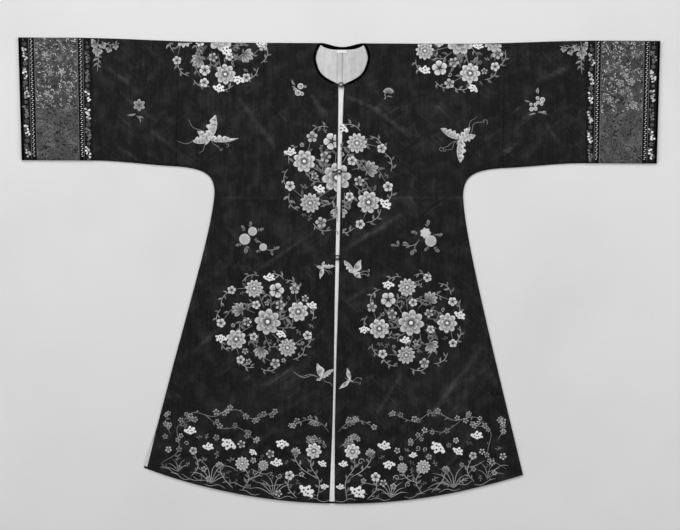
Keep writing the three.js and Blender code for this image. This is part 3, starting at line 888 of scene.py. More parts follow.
# A flower roundel: kinds and places in a round of radius 1, with each one's size and shade
ROUNDEL = (
    ("peony", -0.04, 0.02, 0.26, 1.0),
    ("aster", 0.46, 0.52, 0.18, 1.1),
    ("peony", -0.52, 0.44, 0.2, 1.2),
    ("blossom", 0.04, 0.66, 0.15, 1.0),
    ("fan", 0.62, 0.02, 0.21, 1.0),
    ("peony", 0.4, -0.54, 0.2, 1.1),
    ("aster", -0.6, -0.3, 0.18, 1.0),
    ("fan", -0.16, -0.62, 0.21, 1.1),
    ("blossom", 0.3, 0.24, 0.085, 1.0),
    ("blossom", -0.87, 0.08, 0.09, 1.0),
    ("blossom", 0.86, 0.32, 0.085, 0.9),
    ("blossom", 0.1, -0.36, 0.08, 1.0),
    ("dim", -0.28, 0.82, 0.1, 2.0),
    ("blossom", 0.8, -0.36, 0.09, 1.0),
    ("dim", -0.5, -0.68, 0.1, 2.0),
    ("blossom", 0.16, -0.88, 0.085, 0.9),
    ("cloud", 0.27, 0.84, 0.11, 1.0),
    ("cloud", -0.38, -0.1, 0.1, 1.0),
    ("cloud", 0.68, -0.64, 0.11, 1.0),
    ("cloud", -0.72, 0.66, 0.1, 1.0),
    ("star", 0.33, -0.14, 0.09, 1.0),
    ("star", -0.14, 0.42, 0.1, 1.0),
)


def plant(work, kind, x, y, size, angle, shade, pick):
    if kind == "fan":
        work.fan(*polar(x, y, angle, -size * 0.5), size, angle, shade)
    elif kind == "cloud":
        work.cloud(x, y, size, pick.uniform(-0.5, 0.5) + (math.pi if pick.random() < 0.5 else 0))
    else:
        work.flower(kind, x, y, size, pick.uniform(0, TAU), shade)
    work.taken.append((x, y, size))


# What the shoulder roundels have besides, in the half that hangs in front
SHOULDER_MORE = (
    ("cloud", 0.06, -0.22, 0.13, 1.0),
    ("dim", -0.78, -0.16, 0.11, 2.0),
    ("blossom", 0.62, -0.2, 0.11, 1.0),
    ("dim", -0.36, -0.3, 0.11, 2.0),
    ("cloud", 0.3, -0.8, 0.11, 1.0),
    ("cloud", -0.5, -0.62, 0.1, 1.0),
)


def roundel(work, x, y, radius, turned, hand, seed, fill=560, more=()):
    """A round of flowers on scrolling stems, with small sprigs between them."""
    pick = random.Random(seed)
    places = []
    for kind, right, up, size, shade in ROUNDEL + more:
        angle = math.atan2(up, hand * right) + turned
        reach = math.hypot(right, up)
        places.append((kind, angle, reach, *polar(x, y, angle, reach * radius), size * radius, shade))
    for kind, angle, reach, px, py, size, shade in places:
        if reach > 0.4 and kind != "cloud":
            start = polar(x, y, angle + 0.75 * hand, radius * 0.27)
            bow = polar(x, y, angle + 0.5 * hand, radius * reach * 0.74)
            end = polar(x, y, angle + 0.1 * hand, radius * reach - size * 0.6)
            work.branch([start, bow, end], 1.4, 0.34, 5, radius * 0.12, 0.22, pick)
    for kind, angle, reach, px, py, size, shade in places:
        plant(work, kind, px, py, size, angle, shade, pick)
    for k in range(11):
        angle = TAU * (k + pick.uniform(0.3, 0.7)) / 11
        rim = [polar(x, y, angle + s * 0.19, radius * (0.97 - 0.05 * s * s)) for s in (-1, -0.4, 0.3, 1)]
        work.branch(rim, 1.4, 0.5, 4, radius * 0.1, 0.3, pick)

    def somewhere(pick):
        return polar(x, y, pick.uniform(0, TAU), radius * 0.94 * math.sqrt(pick.random()))

    work.scatter(somewhere, fill, radius * 0.115, 0.24, pick)


# Centres of the roundels and the turns of those that lie turned, and how far out the sleeve's spray starts
SHOULDER_ROUNDEL = (272, 524)
SHOULDER_TURNED = {"left": 2.6, "right": 0.8}
LOWER_ROUNDELS = {"left": (168, -117), "right": (-168, -117)}
LOWER_TURNED = {"left": 0.9, "right": -0.4}
CHEST_ROUNDEL = (-0.6, 210)
CHEST_TURNED = 0.25
CUFF_SPRAY_OUT = 546.0

# Where each work's random draws start
SEEDS = {
    "chest": 3, "lower": 11, "back_lower": 13, "shoulder": 23, "border": 41, "back_border": 47,
    "cuff_spray": 71, "ribbon_outer": 5, "ribbon_inner": 9, "band": 17,
}


def from_hem(x, up, side):
    """The laid place at a distance out from the centre line and up from the hem."""
    y = -BODY_LENGTH + HEM_RISE * (x / HEM_HALF) ** 2 + up
    return lay(np.array([x, y]), side)


# Plants of the hem border: each one's path out from the front edge and up from the hem, its leaves and their
# length, and the kind, size and shade of the flower at its end
Plant = namedtuple("Plant", "path leaves leaf kind size shade")
BORDER = (
    Plant(((34, 8), (30, 50), (50, 84), (44, 118)), 9, 14, "peony", 18, 1.5),
    Plant(((40, 58), (70, 76), (86, 98), (84, 116)), 6, 12, "fan", 16, 1.0),
    Plant(((80, 8), (100, 30), (98, 58)), 5, 12, "blossom", 11, 1.0),
    Plant(((392, 24), (352, 66), (356, 118), (316, 146)), 6, 8, "dim", 7, 1.3),
    Plant(((352, 118), (322, 160), (272, 164), (236, 192)), 8, 8, "dim", 7, 1.3),
    Plant(((296, 164), (252, 142), (216, 150), (176, 128)), 8, 8, "dim", 7, 1.3),
    Plant(((272, 166), (222, 190), (184, 176), (134, 200)), 8, 8, "dim", 7, 1.3),
    Plant(((372, 96), (384, 118), (378, 142)), 6, 8, "dim", 6, 1.0),
    Plant(((204, 10), (190, 40), (206, 70)), 6, 13, "aster", 16, 1.1),
    Plant(((196, 34), (168, 50), (158, 74)), 5, 11, "aster", 12, 0.9),
    Plant(((226, 10), (250, 32), (258, 58)), 5, 11, "fan", 13, 0.9),
    Plant(((322, 14), (306, 42), (318, 74)), 6, 10, "blossom", 9, 0.7),
    Plant(((10, 162), (30, 182), (60, 188), (92, 172)), 12, 12, "dim", 7, 1.6),
    Plant(((14, 128), (34, 142), (56, 146)), 8, 11, "dim", 6, 1.6),
)
# Tufts of grass by place, height, blades and lean, and clouds by place and size
TUFTS = ((134, 8, 56, 7, 0.1), (276, 10, 58, 7, -0.1), (352, 16, 40, 5, 0.2))
CLOUDS = (
    (58, 26, 18), (18, 38, 9), (116, 128, 14), (128, 84, 13), (238, 108, 17), (284, 92, 12), (326, 118, 13),
    (24, 90, 10), (182, 100, 9),
)


def hem_border(work, side, seed, fill=460):
    pick = random.Random(seed)
    for row in BORDER:
        bare = row.kind == "dim"
        width, tone, leaves = (1.2, 0.3, row.leaves // 2) if bare else (1.6, 0.5, row.leaves)
        places = [from_hem(x, up, side) for x, up in row.path]
        path = work.branch(places, width, tone, leaves, row.leaf, 0.24, pick)
        for _ in range(6 if bare else 0):
            place = polar(*path[pick.randrange(5, len(path))], pick.uniform(0, TAU), pick.uniform(4, 9))
            size, turned = pick.uniform(5, 7.5), pick.uniform(0, TAU)
            work.flower("star", *place, size, turned, pick.uniform(0.35, 1.0))
        plant(work, row.kind, *path[-1], row.size, heading(path), row.shade, pick)
    for x, up, height, blades, lean in TUFTS:
        work.tuft(*from_hem(x, up, side), height, blades, -side * lean, 0.4, pick)
    for x, up, size in CLOUDS:
        plant(work, "cloud", *from_hem(x, up, side), size, 0, 1, pick)
    for k in range(14):
        x, up = mix(30, 372, k / 13), 7 + 26 * (k % 3) * pick.random()
        line = [from_hem(x + s * 24, up + 4 * math.sin(3 * s + k), side) for s in (-1, -0.3, 0.4, 1)]
        work.cord(line, 1.5, 0.36)

    def somewhere(pick):
        return from_hem(pick.uniform(22, 385), pick.uniform(14, 118), side)

    work.scatter(somewhere, fill, 15, 0.22, pick)


# Butterflies and other winged insects: place, the body's angle in degrees and its length, width of the fine
# lines, wings as angle, length, width and lobes, and lines as angle, length and the way that they curl
Winged = namedtuple("Winged", "at body length fine wings lines")
BUTTERFLIES = (
    Winged((-295, 298), 52, 32, 1.25,
           ((76, 57, 26, 3), (3, 46, 17, 3), (2, 66, 9, 2), (146, 34, -17, 2), (188, 38, -24, 3)),
           ((136, 66, 0), (183, 74, 0), (-17, 42, 1), (-42, 34, -1), (-128, 40, 0))),
    Winged((277, 299), 215, 30, 1.25,
           ((153, 52, -20, 4), (268, 54, 22, 3), (52, 34, 16, 2), (15, 34, -18, 3)),
           ((54, 62, 0), (36, 66, 1), (214, 44, 1), (206, 50, -1))),
    Winged((-37, 8), 60, 15, 1.0,
           ((4, 27, 10, 3), (256, 28, 10, 1), (78, 14, 7, 1), (176, 15, 8, 1)),
           ((-40, 27, 0), (-52, 24, 0), (160, 20, 0))),
    Winged((33, -6), 115, 18, 2.0,
           ((127, 36, 15, 3), (62, 34, -17, 1), (-34, 20, 14, 1)),
           ((8, 33, -1), (-8, 32, -1))),
    Winged((-40, -244), 50, 19, 1.6,
           ((107, 34, -18, 1), (36, 34, -12, 4), (205, 14, 7, 1)),
           ((-40, 32, 0), (172, 58, 0), (168, 66, 0))),
    Winged((25, -250), 150, 15, 1.3,
           ((104, 29, 10, 1), (218, 32, 10, 1)),
           ((10, 24, 1), (-18, 22, -1), (150, 14, 0))),
)

# Sprays of round fruits: fruits by offset, radius and lobes, and buds by offset, angle in degrees and size
FRUITS = {
    "right": {
        "at": (-201, 66), "fruits": ((-14, 5, 13.6, 0), (4, 23, 11, 0), (28, -13, 9.2, 0)),
        "buds": ((0, 38, 95, 12), (-16, 30, 130, 13), (22, 26, 30, 13), (-28, -7, 205, 12), (12, 2, -40, 11),
                 (17, -21, 215, 10), (47, -26, -60, 11), (58, -16, 30, 13), (-11, -17, -95, 17)),
        "twigs": (((8, 4), (20, -1), (28, -10)), ((34, -18), (46, -20), (60, -16))),
    },
    "left": {
        "at": (204, 66), "fruits": ((4, 1, 14, 0), (-8, 19, 12.5, 7)),
        "buds": ((-32, 21, 172, 14), (-2, 40, 85, 15), (24, 14, 25, 13), (16, -19, -28, 15),
                 (-6, -16, -120, 12), (-36, -22, 240, 17), (-50, -7, 150, 17), (-70, -6, 100, 13),
                 (-80, -8, 190, 11)),
        "twigs": (((-22, 4), (-30, -6), (-44, -10), (-62, -8)), ((-28, -5), (-34, -16)), ((8, 14), (24, 16))),
    },
}

# Small sprigs by place and what they are made of: leaves and petals by offset, angle in degrees, length and
# width, and rounds by offset and radius
Sprig = namedtuple("Sprig", "at leaves petals rounds")
SPRIGS = {
    "star": Sprig(
        (-460, 372),
        ((-3, -16, 186, 20, 5), (-1, -20, -50, 16, 4), (4, -22, -20, 12, 4), (6, -26, -80, 11, 3)),
        [(5, 4, 30 + 60 * k, 14, 9) for k in range(6)],
        (),
    ),
    "berries": Sprig(
        (450, 378),
        ((-16, 6, 165, 13, 4), (2, -18, -15, 22, 5), (-4, -20, 190, 16, 4), (2, 24, 90, 14, 8)),
        ((22, -22, 150, 11, 7),),
        ((12, 10, 6.5), (1, 14, 4.5), (2, 4, 4.5), (-4, -1, 4.5), (10, 1, 4.5), (-14, 0, 4), (-13, -11, 5.5),
         (-4, -10, 5)),
    ),
    "gourd": Sprig(
        (-93, 412),
        ((-8, 9, 118, 15, 5), (-6, 4, 160, 9, 4)),
        ((-3, -4, 140, 10, 7), (10, 4, 20, 9, 6)),
        ((-1, -8, 7.5), (8, -10, 5), (5, 7, 7.5), (-6, -1, 4)),
    ),
    "pink": Sprig(
        (112, 404),
        ((-6, -9, 235, 8, 3), (-4, -8, -10, 14, 3), (-6, -9, 110, 8, 3)),
        [(0, -1, 25 + 26 * k, 13, 7) for k in range(6)],
        (),
    ),
}
BODY_SPRIGS = {"left": "pink", "right": "gourd"}
SLEEVE_SPRIGS = {"left": "berries", "right": "star"}


def fruit_spray(work, name):
    row = FRUITS[name]
    x, y = row["at"]
    for twig in row["twigs"]:
        work.cord([(x + dx, y + dy) for dx, dy in twig], 1.6, 0.34)
    for dx, dy, degrees, size in row["buds"]:
        angle = math.radians(degrees)
        root = polar(x + dx, y + dy, angle, -size * 0.4)
        work.petal(*root, angle, size, size * 0.52, 0.08, 0.16, 0.5)
        work.leaf(*root, angle + 0.9, size * 0.6, size * 0.22, 0.3)
    for dx, dy, radius, lobes in row["fruits"]:
        tone = 0.66 if lobes else 0.46
        work.dome(x + dx, y + dy, radius, tone, 0.62, rise=work.rise * 1.4, sides=28, lobes=lobes)


def sprig(work, kind):
    row = SPRIGS[kind]
    x, y = row.at
    for dx, dy, degrees, length, width in row.leaves:
        work.leaf(x + dx, y + dy, math.radians(degrees), length, width, 0.4)
    for dx, dy, degrees, length, width in row.petals:
        work.petal(x + dx, y + dy, math.radians(degrees), length, width, 0.04, 0.4, 0.7)
    for dx, dy, radius in row.rounds:
        work.dome(x + dx, y + dy, radius, 0.4, 0.75)
        work.curl(x + dx, y + dy, radius * 0.45, dx, 1, radius * 0.22, VOID, 0.8, 7, work.rise * 0.6)


# The flowers beside the sleeve's trims, by offset, size and angle in degrees, and their two stems
CUFF_FLOWERS = (
    (-10, -8, 15, 200), (-4, -22, 16, 262), (6, -10, 12, 300), (22, -20, 10, 250), (36, -14, 9, 280),
)
CUFF_STEMS = (((-2, 2), (-6, -22), (-3, -44), (-5, -72)), ((4, -4), (26, -12), (46, -8)))


def cuff_spray(work, x, y, hand, seed):
    """Hanging flowers that come over the shoulder fold beside the sleeve's trims."""
    pick = random.Random(seed)
    long, short = ([(x + dx * hand, y + dy) for dx, dy in stem] for stem in CUFF_STEMS)
    work.branch(long, 1.6, 0.4, 12, 12, 0.34, pick)
    work.branch(short, 1.4, 0.4, 6, 9, 0.26, pick)
    for dx, dy, size, degrees in CUFF_FLOWERS:
        work.fan(x + dx * hand, y + dy, size, math.radians(degrees if hand > 0 else 180 - degrees), 1.1, 3)


def small_motifs(work, name, side):
    """Butterflies, fruit sprays and sprigs of one front."""
    for row in BUTTERFLIES:
        if row.at[0] * side > 0:
            work.butterfly(row)
    fruit_spray(work, name)
    sprig(work, BODY_SPRIGS[name])


# Finishes


def group_node(tree, group, **values):
    node = tree.nodes.new("ShaderNodeGroup")
    node.node_tree = group
    for name, value in values.items():
        node.inputs[name.replace("_", " ")].default_value = value
    return node


def new_group(name, inputs, outputs):
    group = bpy.data.node_groups.new(name, "ShaderNodeTree")
    for label, value in inputs.items():
        socket = group.interface.new_socket(name=label, in_out="INPUT", socket_type="NodeSocketFloat")
        socket.default_value = value
    for label in outputs:
        group.interface.new_socket(name=label, in_out="OUTPUT", socket_type="NodeSocketFloat")
    return group, group.nodes.new("NodeGroupInput"), group.nodes.new("NodeGroupOutput")


def maths(tree, operation, a, b=None):
    node = tree.nodes.new("ShaderNodeMath")
    node.operation = operation
    for socket, value in zip(node.inputs, (a, b)):
        if isinstance(value, bpy.types.NodeSocket):
            tree.links.new(value, socket)
        elif value is not None:
            socket.default_value = value
    return node.outputs[0]


def ramped(tree, value, low, high, to_low=0.0, to_high=1.0):
    node = tree.nodes.new("ShaderNodeMapRange")
    tree.links.new(value, node.inputs["Value"])
    for label, number in (("From Min", low), ("From Max", high), ("To Min", to_low), ("To Max", to_high)):
        node.inputs[label].default_value = number
    return node.outputs["Result"]


def noise(tree, place, scale, detail=2.0, rough=0.5):
    node = tree.nodes.new("ShaderNodeTexNoise")
    node.inputs["Scale"].default_value = scale
    node.inputs["Detail"].default_value = detail
    node.inputs["Roughness"].default_value = rough
    tree.links.new(place, node.inputs["Vector"])
    return node.outputs["Fac"]


def stretched(tree, place, x, y):
    node = tree.nodes.new("ShaderNodeMapping")
    node.inputs["Scale"].default_value = (x, y, 1)
    tree.links.new(place, node.inputs["Vector"])
    return node.outputs["Vector"]


def weave_group():
    """Plain weave along the cloth, with uneven warp threads that show as faint upright streaks."""
    group, given, out = new_group("Silk weave", {"Pitch": 0.0007, "Streaks": 0.1}, ("Height", "Tone"))
    place = group.nodes.new("ShaderNodeTexCoord").outputs["Object"]
    parts = group.nodes.new("ShaderNodeSeparateXYZ")
    group.links.new(place, parts.inputs["Vector"])
    turns = maths(group, "DIVIDE", TAU, given.outputs["Pitch"])
    warp = maths(group, "SINE", maths(group, "MULTIPLY", parts.outputs["X"], turns))
    weft = maths(group, "SINE", maths(group, "MULTIPLY", parts.outputs["Y"], turns))
    group.links.new(maths(group, "MULTIPLY", warp, weft), out.inputs["Height"])
    fine = noise(group, stretched(group, place, 300, 14), 1.0, 3.0, 0.6)
    broad = noise(group, stretched(group, place, 110, 18), 1.0, 2.0)
    streak = maths(group, "ADD", maths(group, "MULTIPLY", fine, 0.6), maths(group, "MULTIPLY", broad, 0.4))
    centred = maths(group, "MULTIPLY", maths(group, "SUBTRACT", streak, 0.5), given.outputs["Streaks"])
    group.links.new(maths(group, "ADD", centred, 1.0), out.inputs["Tone"])
    return group


def age_group():
    """Handling: broad pale patches and small flecks where the cloth has rubbed."""
    inputs = {"Patches": 0.3, "Flecks": 0.3, "Patch Scale": 14.0, "Fleck Scale": 160.0}
    group, given, out = new_group("Cloth wear", inputs, ("Tone", "Mask"))
    place = group.nodes.new("ShaderNodeTexCoord").outputs["Object"]
    patches, flecks = group.nodes.new("ShaderNodeTexNoise"), group.nodes.new("ShaderNodeTexNoise")
    for node, label in ((patches, "Patch Scale"), (flecks, "Fleck Scale")):
        group.links.new(place, node.inputs["Vector"])
        group.links.new(given.outputs[label], node.inputs["Scale"])
        node.inputs["Detail"].default_value = 3.0
    patch = ramped(group, patches.outputs["Fac"], 0.45, 0.72)
    patch = maths(group, "MULTIPLY", patch, given.outputs["Patches"])
    fleck = ramped(group, flecks.outputs["Fac"], 0.58, 0.78)
    fleck = maths(group, "MULTIPLY", fleck, given.outputs["Flecks"])
    both = maths(group, "ADD", patch, fleck)
    group.links.new(maths(group, "ADD", both, 1.0), out.inputs["Tone"])
    group.links.new(both, out.inputs["Mask"])
    return group


def rub_group():
    """Fine slanted marks where the silk has been folded and rubbed, in two directions."""
    group, given, out = new_group("Rub marks", {"Amount": 1.0}, ("Tone",))
    place = group.nodes.new("ShaderNodeTexCoord").outputs["Object"]
    marks = None
    for turned, apart in ((-0.75, 3.1), (0.6, 7.4)):
        slant = group.nodes.new("ShaderNodeMapping")
        slant.vector_type = "TEXTURE"
        slant.inputs["Location"].default_value = (apart, apart, 0)
        slant.inputs["Rotation"].default_value = (0, 0, turned)
        slant.inputs["Scale"].default_value = (1 / 18, 1 / 190, 1)
        group.links.new(place, slant.inputs["Vector"])
        lines = ramped(group, noise(group, slant.outputs["Vector"], 1.0, 2.0, 0.6), 0.56, 0.78)
        shifted = group.nodes.new("ShaderNodeVectorMath")
        shifted.inputs[1].default_value = (apart, -apart, 0)
        group.links.new(place, shifted.inputs[0])
        where = ramped(group, noise(group, shifted.outputs["Vector"], 7.0, 1.0), 0.46, 0.62)
        both = maths(group, "MULTIPLY", lines, where)
        marks = both if marks is None else maths(group, "ADD", marks, both)
    marks = maths(group, "MULTIPLY", marks, given.outputs["Amount"])
    group.links.new(maths(group, "ADD", marks, 1.0), out.inputs["Tone"])
    return group


def stitch_group():
    """Floss laid side by side: fine ridges across the stitches, and a little change from thread to thread."""
    group, given, out = new_group("Satin stitch", {"Pitch": 0.5, "Change": 0.25}, ("Height", "Tone"))
    place = group.nodes.new("ShaderNodeUVMap")
    place.uv_map = "thread"
    parts = group.nodes.new("ShaderNodeSeparateXYZ")
    group.links.new(place.outputs["UV"], parts.inputs["Vector"])
    slant = maths(group, "ADD", parts.outputs["X"], maths(group, "MULTIPLY", parts.outputs["Y"], 0.18))
    turns = maths(group, "DIVIDE", TAU, given.outputs["Pitch"])
    wave = maths(group, "SINE", maths(group, "MULTIPLY", slant, turns))
    group.links.new(wave, out.inputs["Height"])
    mark = noise(group, stretched(group, place.outputs["UV"], 1.6, 0.16), 1.0, 1.0)
    centred = maths(group, "MULTIPLY", maths(group, "SUBTRACT", mark, 0.5), given.outputs["Change"])
    group.links.new(maths(group, "ADD", centred, 1.0), out.inputs["Tone"])
    return group


def damask_group():
    """Self-coloured figure of the sleeve bands: thin dark waving lines in the weave, where Mask is 0."""
    group, given, out = new_group("Damask figure", {"Scale": 75.0}, ("Mask",))
    field = group.nodes.new("ShaderNodeTexNoise")
    field.inputs["Detail"].default_value = 0.6
    group.links.new(group.nodes.new("ShaderNodeTexCoord").outputs["Object"], field.inputs["Vector"])
    group.links.new(given.outputs["Scale"], field.inputs["Scale"])
    lines = maths(group, "SINE", maths(group, "MULTIPLY", field.outputs["Fac"], 34.0))
    group.links.new(ramped(group, lines, -0.98, -0.4), out.inputs["Mask"])
    return group


GROUPS = {}


def shared_group(maker):
    """One node group for all the materials, made when it is first asked for."""
    if maker not in GROUPS:
        GROUPS[maker] = maker()
    return GROUPS[maker]


def grey_colour(tree, value):
    node = tree.nodes.new("ShaderNodeCombineColor")
    for label in ("Red", "Green", "Blue"):
        tree.links.new(value, node.inputs[label])
    return node.outputs["Color"]


def start_material(name, roughness, sheen=0.0, specular=0.5):
    material = bpy.data.materials.new(name)
    material.use_nodes = True
    tree = material.node_tree
    shader = tree.nodes["Principled BSDF"]
    shader.inputs["Roughness"].default_value = roughness
    shader.inputs["Sheen Weight"].default_value = sheen
    shader.inputs["Specular IOR Level"].default_value = specular
    return material, tree, shader


def bump(tree, shader, height, strength, distance):
    node = tree.nodes.new("ShaderNodeBump")
    node.inputs["Strength"].default_value = strength
    node.inputs["Distance"].default_value = distance
    tree.links.new(height, node.inputs["Height"])
    tree.links.new(node.outputs["Normal"], shader.inputs["Normal"])


def attribute(tree, name):
    node = tree.nodes.new("ShaderNodeAttribute")
    node.attribute_name = name
    return node.outputs["Fac"]


def cloth_material(name, tone, roughness, look):
    """Woven cloth with streaks, wear and the painted shade and painted highlight that are stored with its
    points, such as the shade at its seams.
    """
    material, tree, shader = start_material(name, roughness, look["sheen"], look["specular"])
    weave = group_node(tree, shared_group(weave_group), Pitch=look["pitch"], Streaks=look["streaks"])
    wear = {"Patches": look["patches"], "Flecks": look["flecks"], "Patch_Scale": look["patch_scale"]}
    age = group_node(tree, shared_group(age_group), **wear)
    value = maths(tree, "MULTIPLY", attribute(tree, "tone"), tone)
    value = maths(tree, "MULTIPLY", value, weave.outputs["Tone"])
    value = maths(tree, "MULTIPLY", value, age.outputs["Tone"])
    height = weave.outputs["Height"]
    if look["rubs"]:
        rub = group_node(tree, shared_group(rub_group), Amount=look["rubs"])
        value = maths(tree, "MULTIPLY", value, rub.outputs["Tone"])
    if look["damask"]:
        damask = group_node(tree, shared_group(damask_group))
        value = maths(tree, "MULTIPLY", value, ramped(tree, damask.outputs["Mask"], 0, 1, 0.2, 1.2))
        height = maths(tree, "ADD", height, maths(tree, "MULTIPLY", damask.outputs["Mask"], 1.5))
    tree.links.new(grey_colour(tree, value), shader.inputs["Base Color"])
    worn = ramped(tree, age.outputs["Mask"], 0, 0.6, roughness, max(0.2, roughness - 0.12))
    tree.links.new(worn, shader.inputs["Roughness"])
    bump(tree, shader, height, look["bump"], look["pitch"] * 0.35)
    return material


PLAIN_LOOK = {
    "pitch": 0.0008, "streaks": 0.3, "patches": 0.1, "flecks": 0.3, "sheen": 0.0, "specular": 0.1,
    "bump": 0.5, "patch_scale": 14.0, "rubs": 0.0, "damask": False,
}
SILK_LOOK = {
    **PLAIN_LOOK, "pitch": 0.0007, "streaks": 2.2, "patches": 1.2, "flecks": 0.9, "specular": 0.06,
    "bump": 0.35, "patch_scale": 34.0, "rubs": 1.4,
}
LINING_LOOK = {
    **PLAIN_LOOK, "streaks": 0.6, "patches": -0.1, "flecks": -0.1, "sheen": 0.05, "specular": 0.3,
    "bump": 0.3, "patch_scale": 70.0,
}
BAND_LOOK = {
    **PLAIN_LOOK, "pitch": 0.0009, "streaks": 0.8, "patches": 0.8, "flecks": 1.2, "specular": 0.2,
    "patch_scale": 40.0, "damask": True,
}
RIBBON_LOOK = {**PLAIN_LOOK, "patches": 0.15, "flecks": 0.5}
BINDING_LOOK = {**PLAIN_LOOK, "specular": 0.01, "bump": 0.4}
TAPE_LOOK = {
    **PLAIN_LOOK, "pitch": 0.0006, "streaks": 0.1, "patches": -0.05, "flecks": -0.1, "specular": 0.3,
    "bump": 0.6,
}


def thread_material(name, roughness):
    """Silk floss in the tone that is stored with each stitch."""
    material, tree, shader = start_material(name, roughness)
    stitch = group_node(tree, shared_group(stitch_group))
    age = group_node(tree, shared_group(age_group), Patches=-0.1, Flecks=-0.25)
    value = maths(tree, "MULTIPLY", attribute(tree, "tone"), stitch.outputs["Tone"])
    value = maths(tree, "MULTIPLY", value, age.outputs["Tone"])
    tree.links.new(grey_colour(tree, value), shader.inputs["Base Color"])
    bump(tree, shader, stitch.outputs["Height"], 0.5, 0.00012)
    return material


def metal_material():
    """Worn gilt ball: bright on top, tarnished in patches."""
    material, tree, shader = start_material("gilt_ball", 0.35)
    shader.inputs["Metallic"].default_value = 1.0
    scales = {"Patch_Scale": 240.0, "Fleck_Scale": 900.0}
    age = group_node(tree, shared_group(age_group), Patches=0.6, Flecks=0.8, **scales)
    value = ramped(tree, age.outputs["Mask"], 0, 1.2, 0.5, 0.2)
    tree.links.new(grey_colour(tree, value), shader.inputs["Base Color"])
    tree.links.new(ramped(tree, age.outputs["Mask"], 0, 1.2, 0.25, 0.6), shader.inputs["Roughness"])
    return material


FINISHES = {}


def finish(name):
    settings = bpy.context.scene.jacket_cloth
    makers = {
        "silk": lambda: cloth_material("dark_silk", settings.silk_tone, 0.5, SILK_LOOK),
        "lining": lambda: cloth_material("pale_lining", settings.lining_tone, 0.6, LINING_LOOK),
        "band": lambda: cloth_material("grey_damask", settings.band_tone, 0.55, BAND_LOOK),
        "ribbon": lambda: cloth_material("ribbon_ground", 0.006, 0.6, RIBBON_LOOK),
        "braid": lambda: cloth_material("braid_ground", 0.003, 0.6, RIBBON_LOOK),
        "binding": lambda: cloth_material("black_binding", settings.binding_tone, 0.75, BINDING_LOOK),
        "tape": lambda: cloth_material("cotton_tape", 0.95, 0.8, TAPE_LOOK),
        "thread": lambda: thread_material("embroidery_floss", 0.42),
        "cord": lambda: thread_material("button_cord", 0.55),
        "button": metal_material,
    }
    if name not in FINISHES:
        FINISHES[name] = makers[name]()
    return FINISHES[name]


# Pieces


FAR = 99  # a distance from a rim or an edge at which it has no effect
SLEEVE_REACH = CUFF_HALF - LOOM_HALF - SEAM_GAP / 2
VENT_SHOWS = 7


def front_wall(grid, side, from_shoulder, radius):
    """Heights and tones of the fronts' silk, with its folds, rolled rims and the dip at the sleeve seam; its
    tones carry painted shade in that dip and a painted highlight on the crests.
    """
    x, y = np.moveaxis(lay(grid["points"], side), -1, 0)
    from_seam = grid["points"][..., 0] - LOOM_HALF
    share = rim_share(from_shoulder, grid["from_outer"], radius)
    over = rolled(share) + relief(x, y) * calmed(np.minimum(from_shoulder, grid["from_outer"]))
    over -= 0.35 * np.exp(-((from_seam / 1.6) ** 2))
    # Painted shade darkens the silk along the dip of the sleeve seam, and a painted highlight lightens the
    # crests of the folds and creases.
    tones = 1 - 0.3 * np.exp(-((from_seam / 1.2) ** 2)) + crest_highlight(x, y)
    return over, over - mix(0.5, 1.3, share), tones


def front_panel(name, side):
    settings = bpy.context.scene.jacket_cloth
    grid = body_grid(True, settings.grid_step / MM)
    x, y = np.moveaxis(grid["points"], -1, 0)
    from_shoulder = np.where(x > NECK_HALF - 1, shoulder_y(x) - y, FAR)
    over, under, tones = front_wall(grid, side, from_shoulder, settings.rim_radius / MM)
    from_opening = np.where(y[:, :1] < -NECK_DROP - NECK_RADIUS, grid["from_inner"], FAR)
    over, under = free_edge(over, under, np.minimum(from_opening, grid["from_hem"]))
    piece = cloth(f"silk_front_{name}", grid["points"], over, under, side, tones)
    return finish_piece(piece, finish("silk"), [f"front_{name}"])


def back_panel(name, side):
    grid = body_grid(False, 16, slip=VENT_SHOWS if side < 0 else 0)
    shape = grid["points"].shape[:2]
    under = np.full(shape, BACK_RAISED) * roll(grid["from_outer"] + 1, 6)
    over = np.full(shape, BACK_OVER)
    over, under = free_edge(over, under, np.minimum(grid["from_hem"], grid["from_outer"]), 0.8)
    piece = cloth(f"silk_back_{name}", grid["points"], over, under, side)
    return finish_piece(piece, finish("silk"), [f"back_{name}"])


# Steps of the lining's points near the centre seam, close together at both edges of its turnings
SEAM_STEPS = (0, 0.2, 0.9, 1.7, 2.3, 2.9, 3.5, 4.1, 5.5, 9, 12, 13.4, 14.2, 15, 15.8, 17)


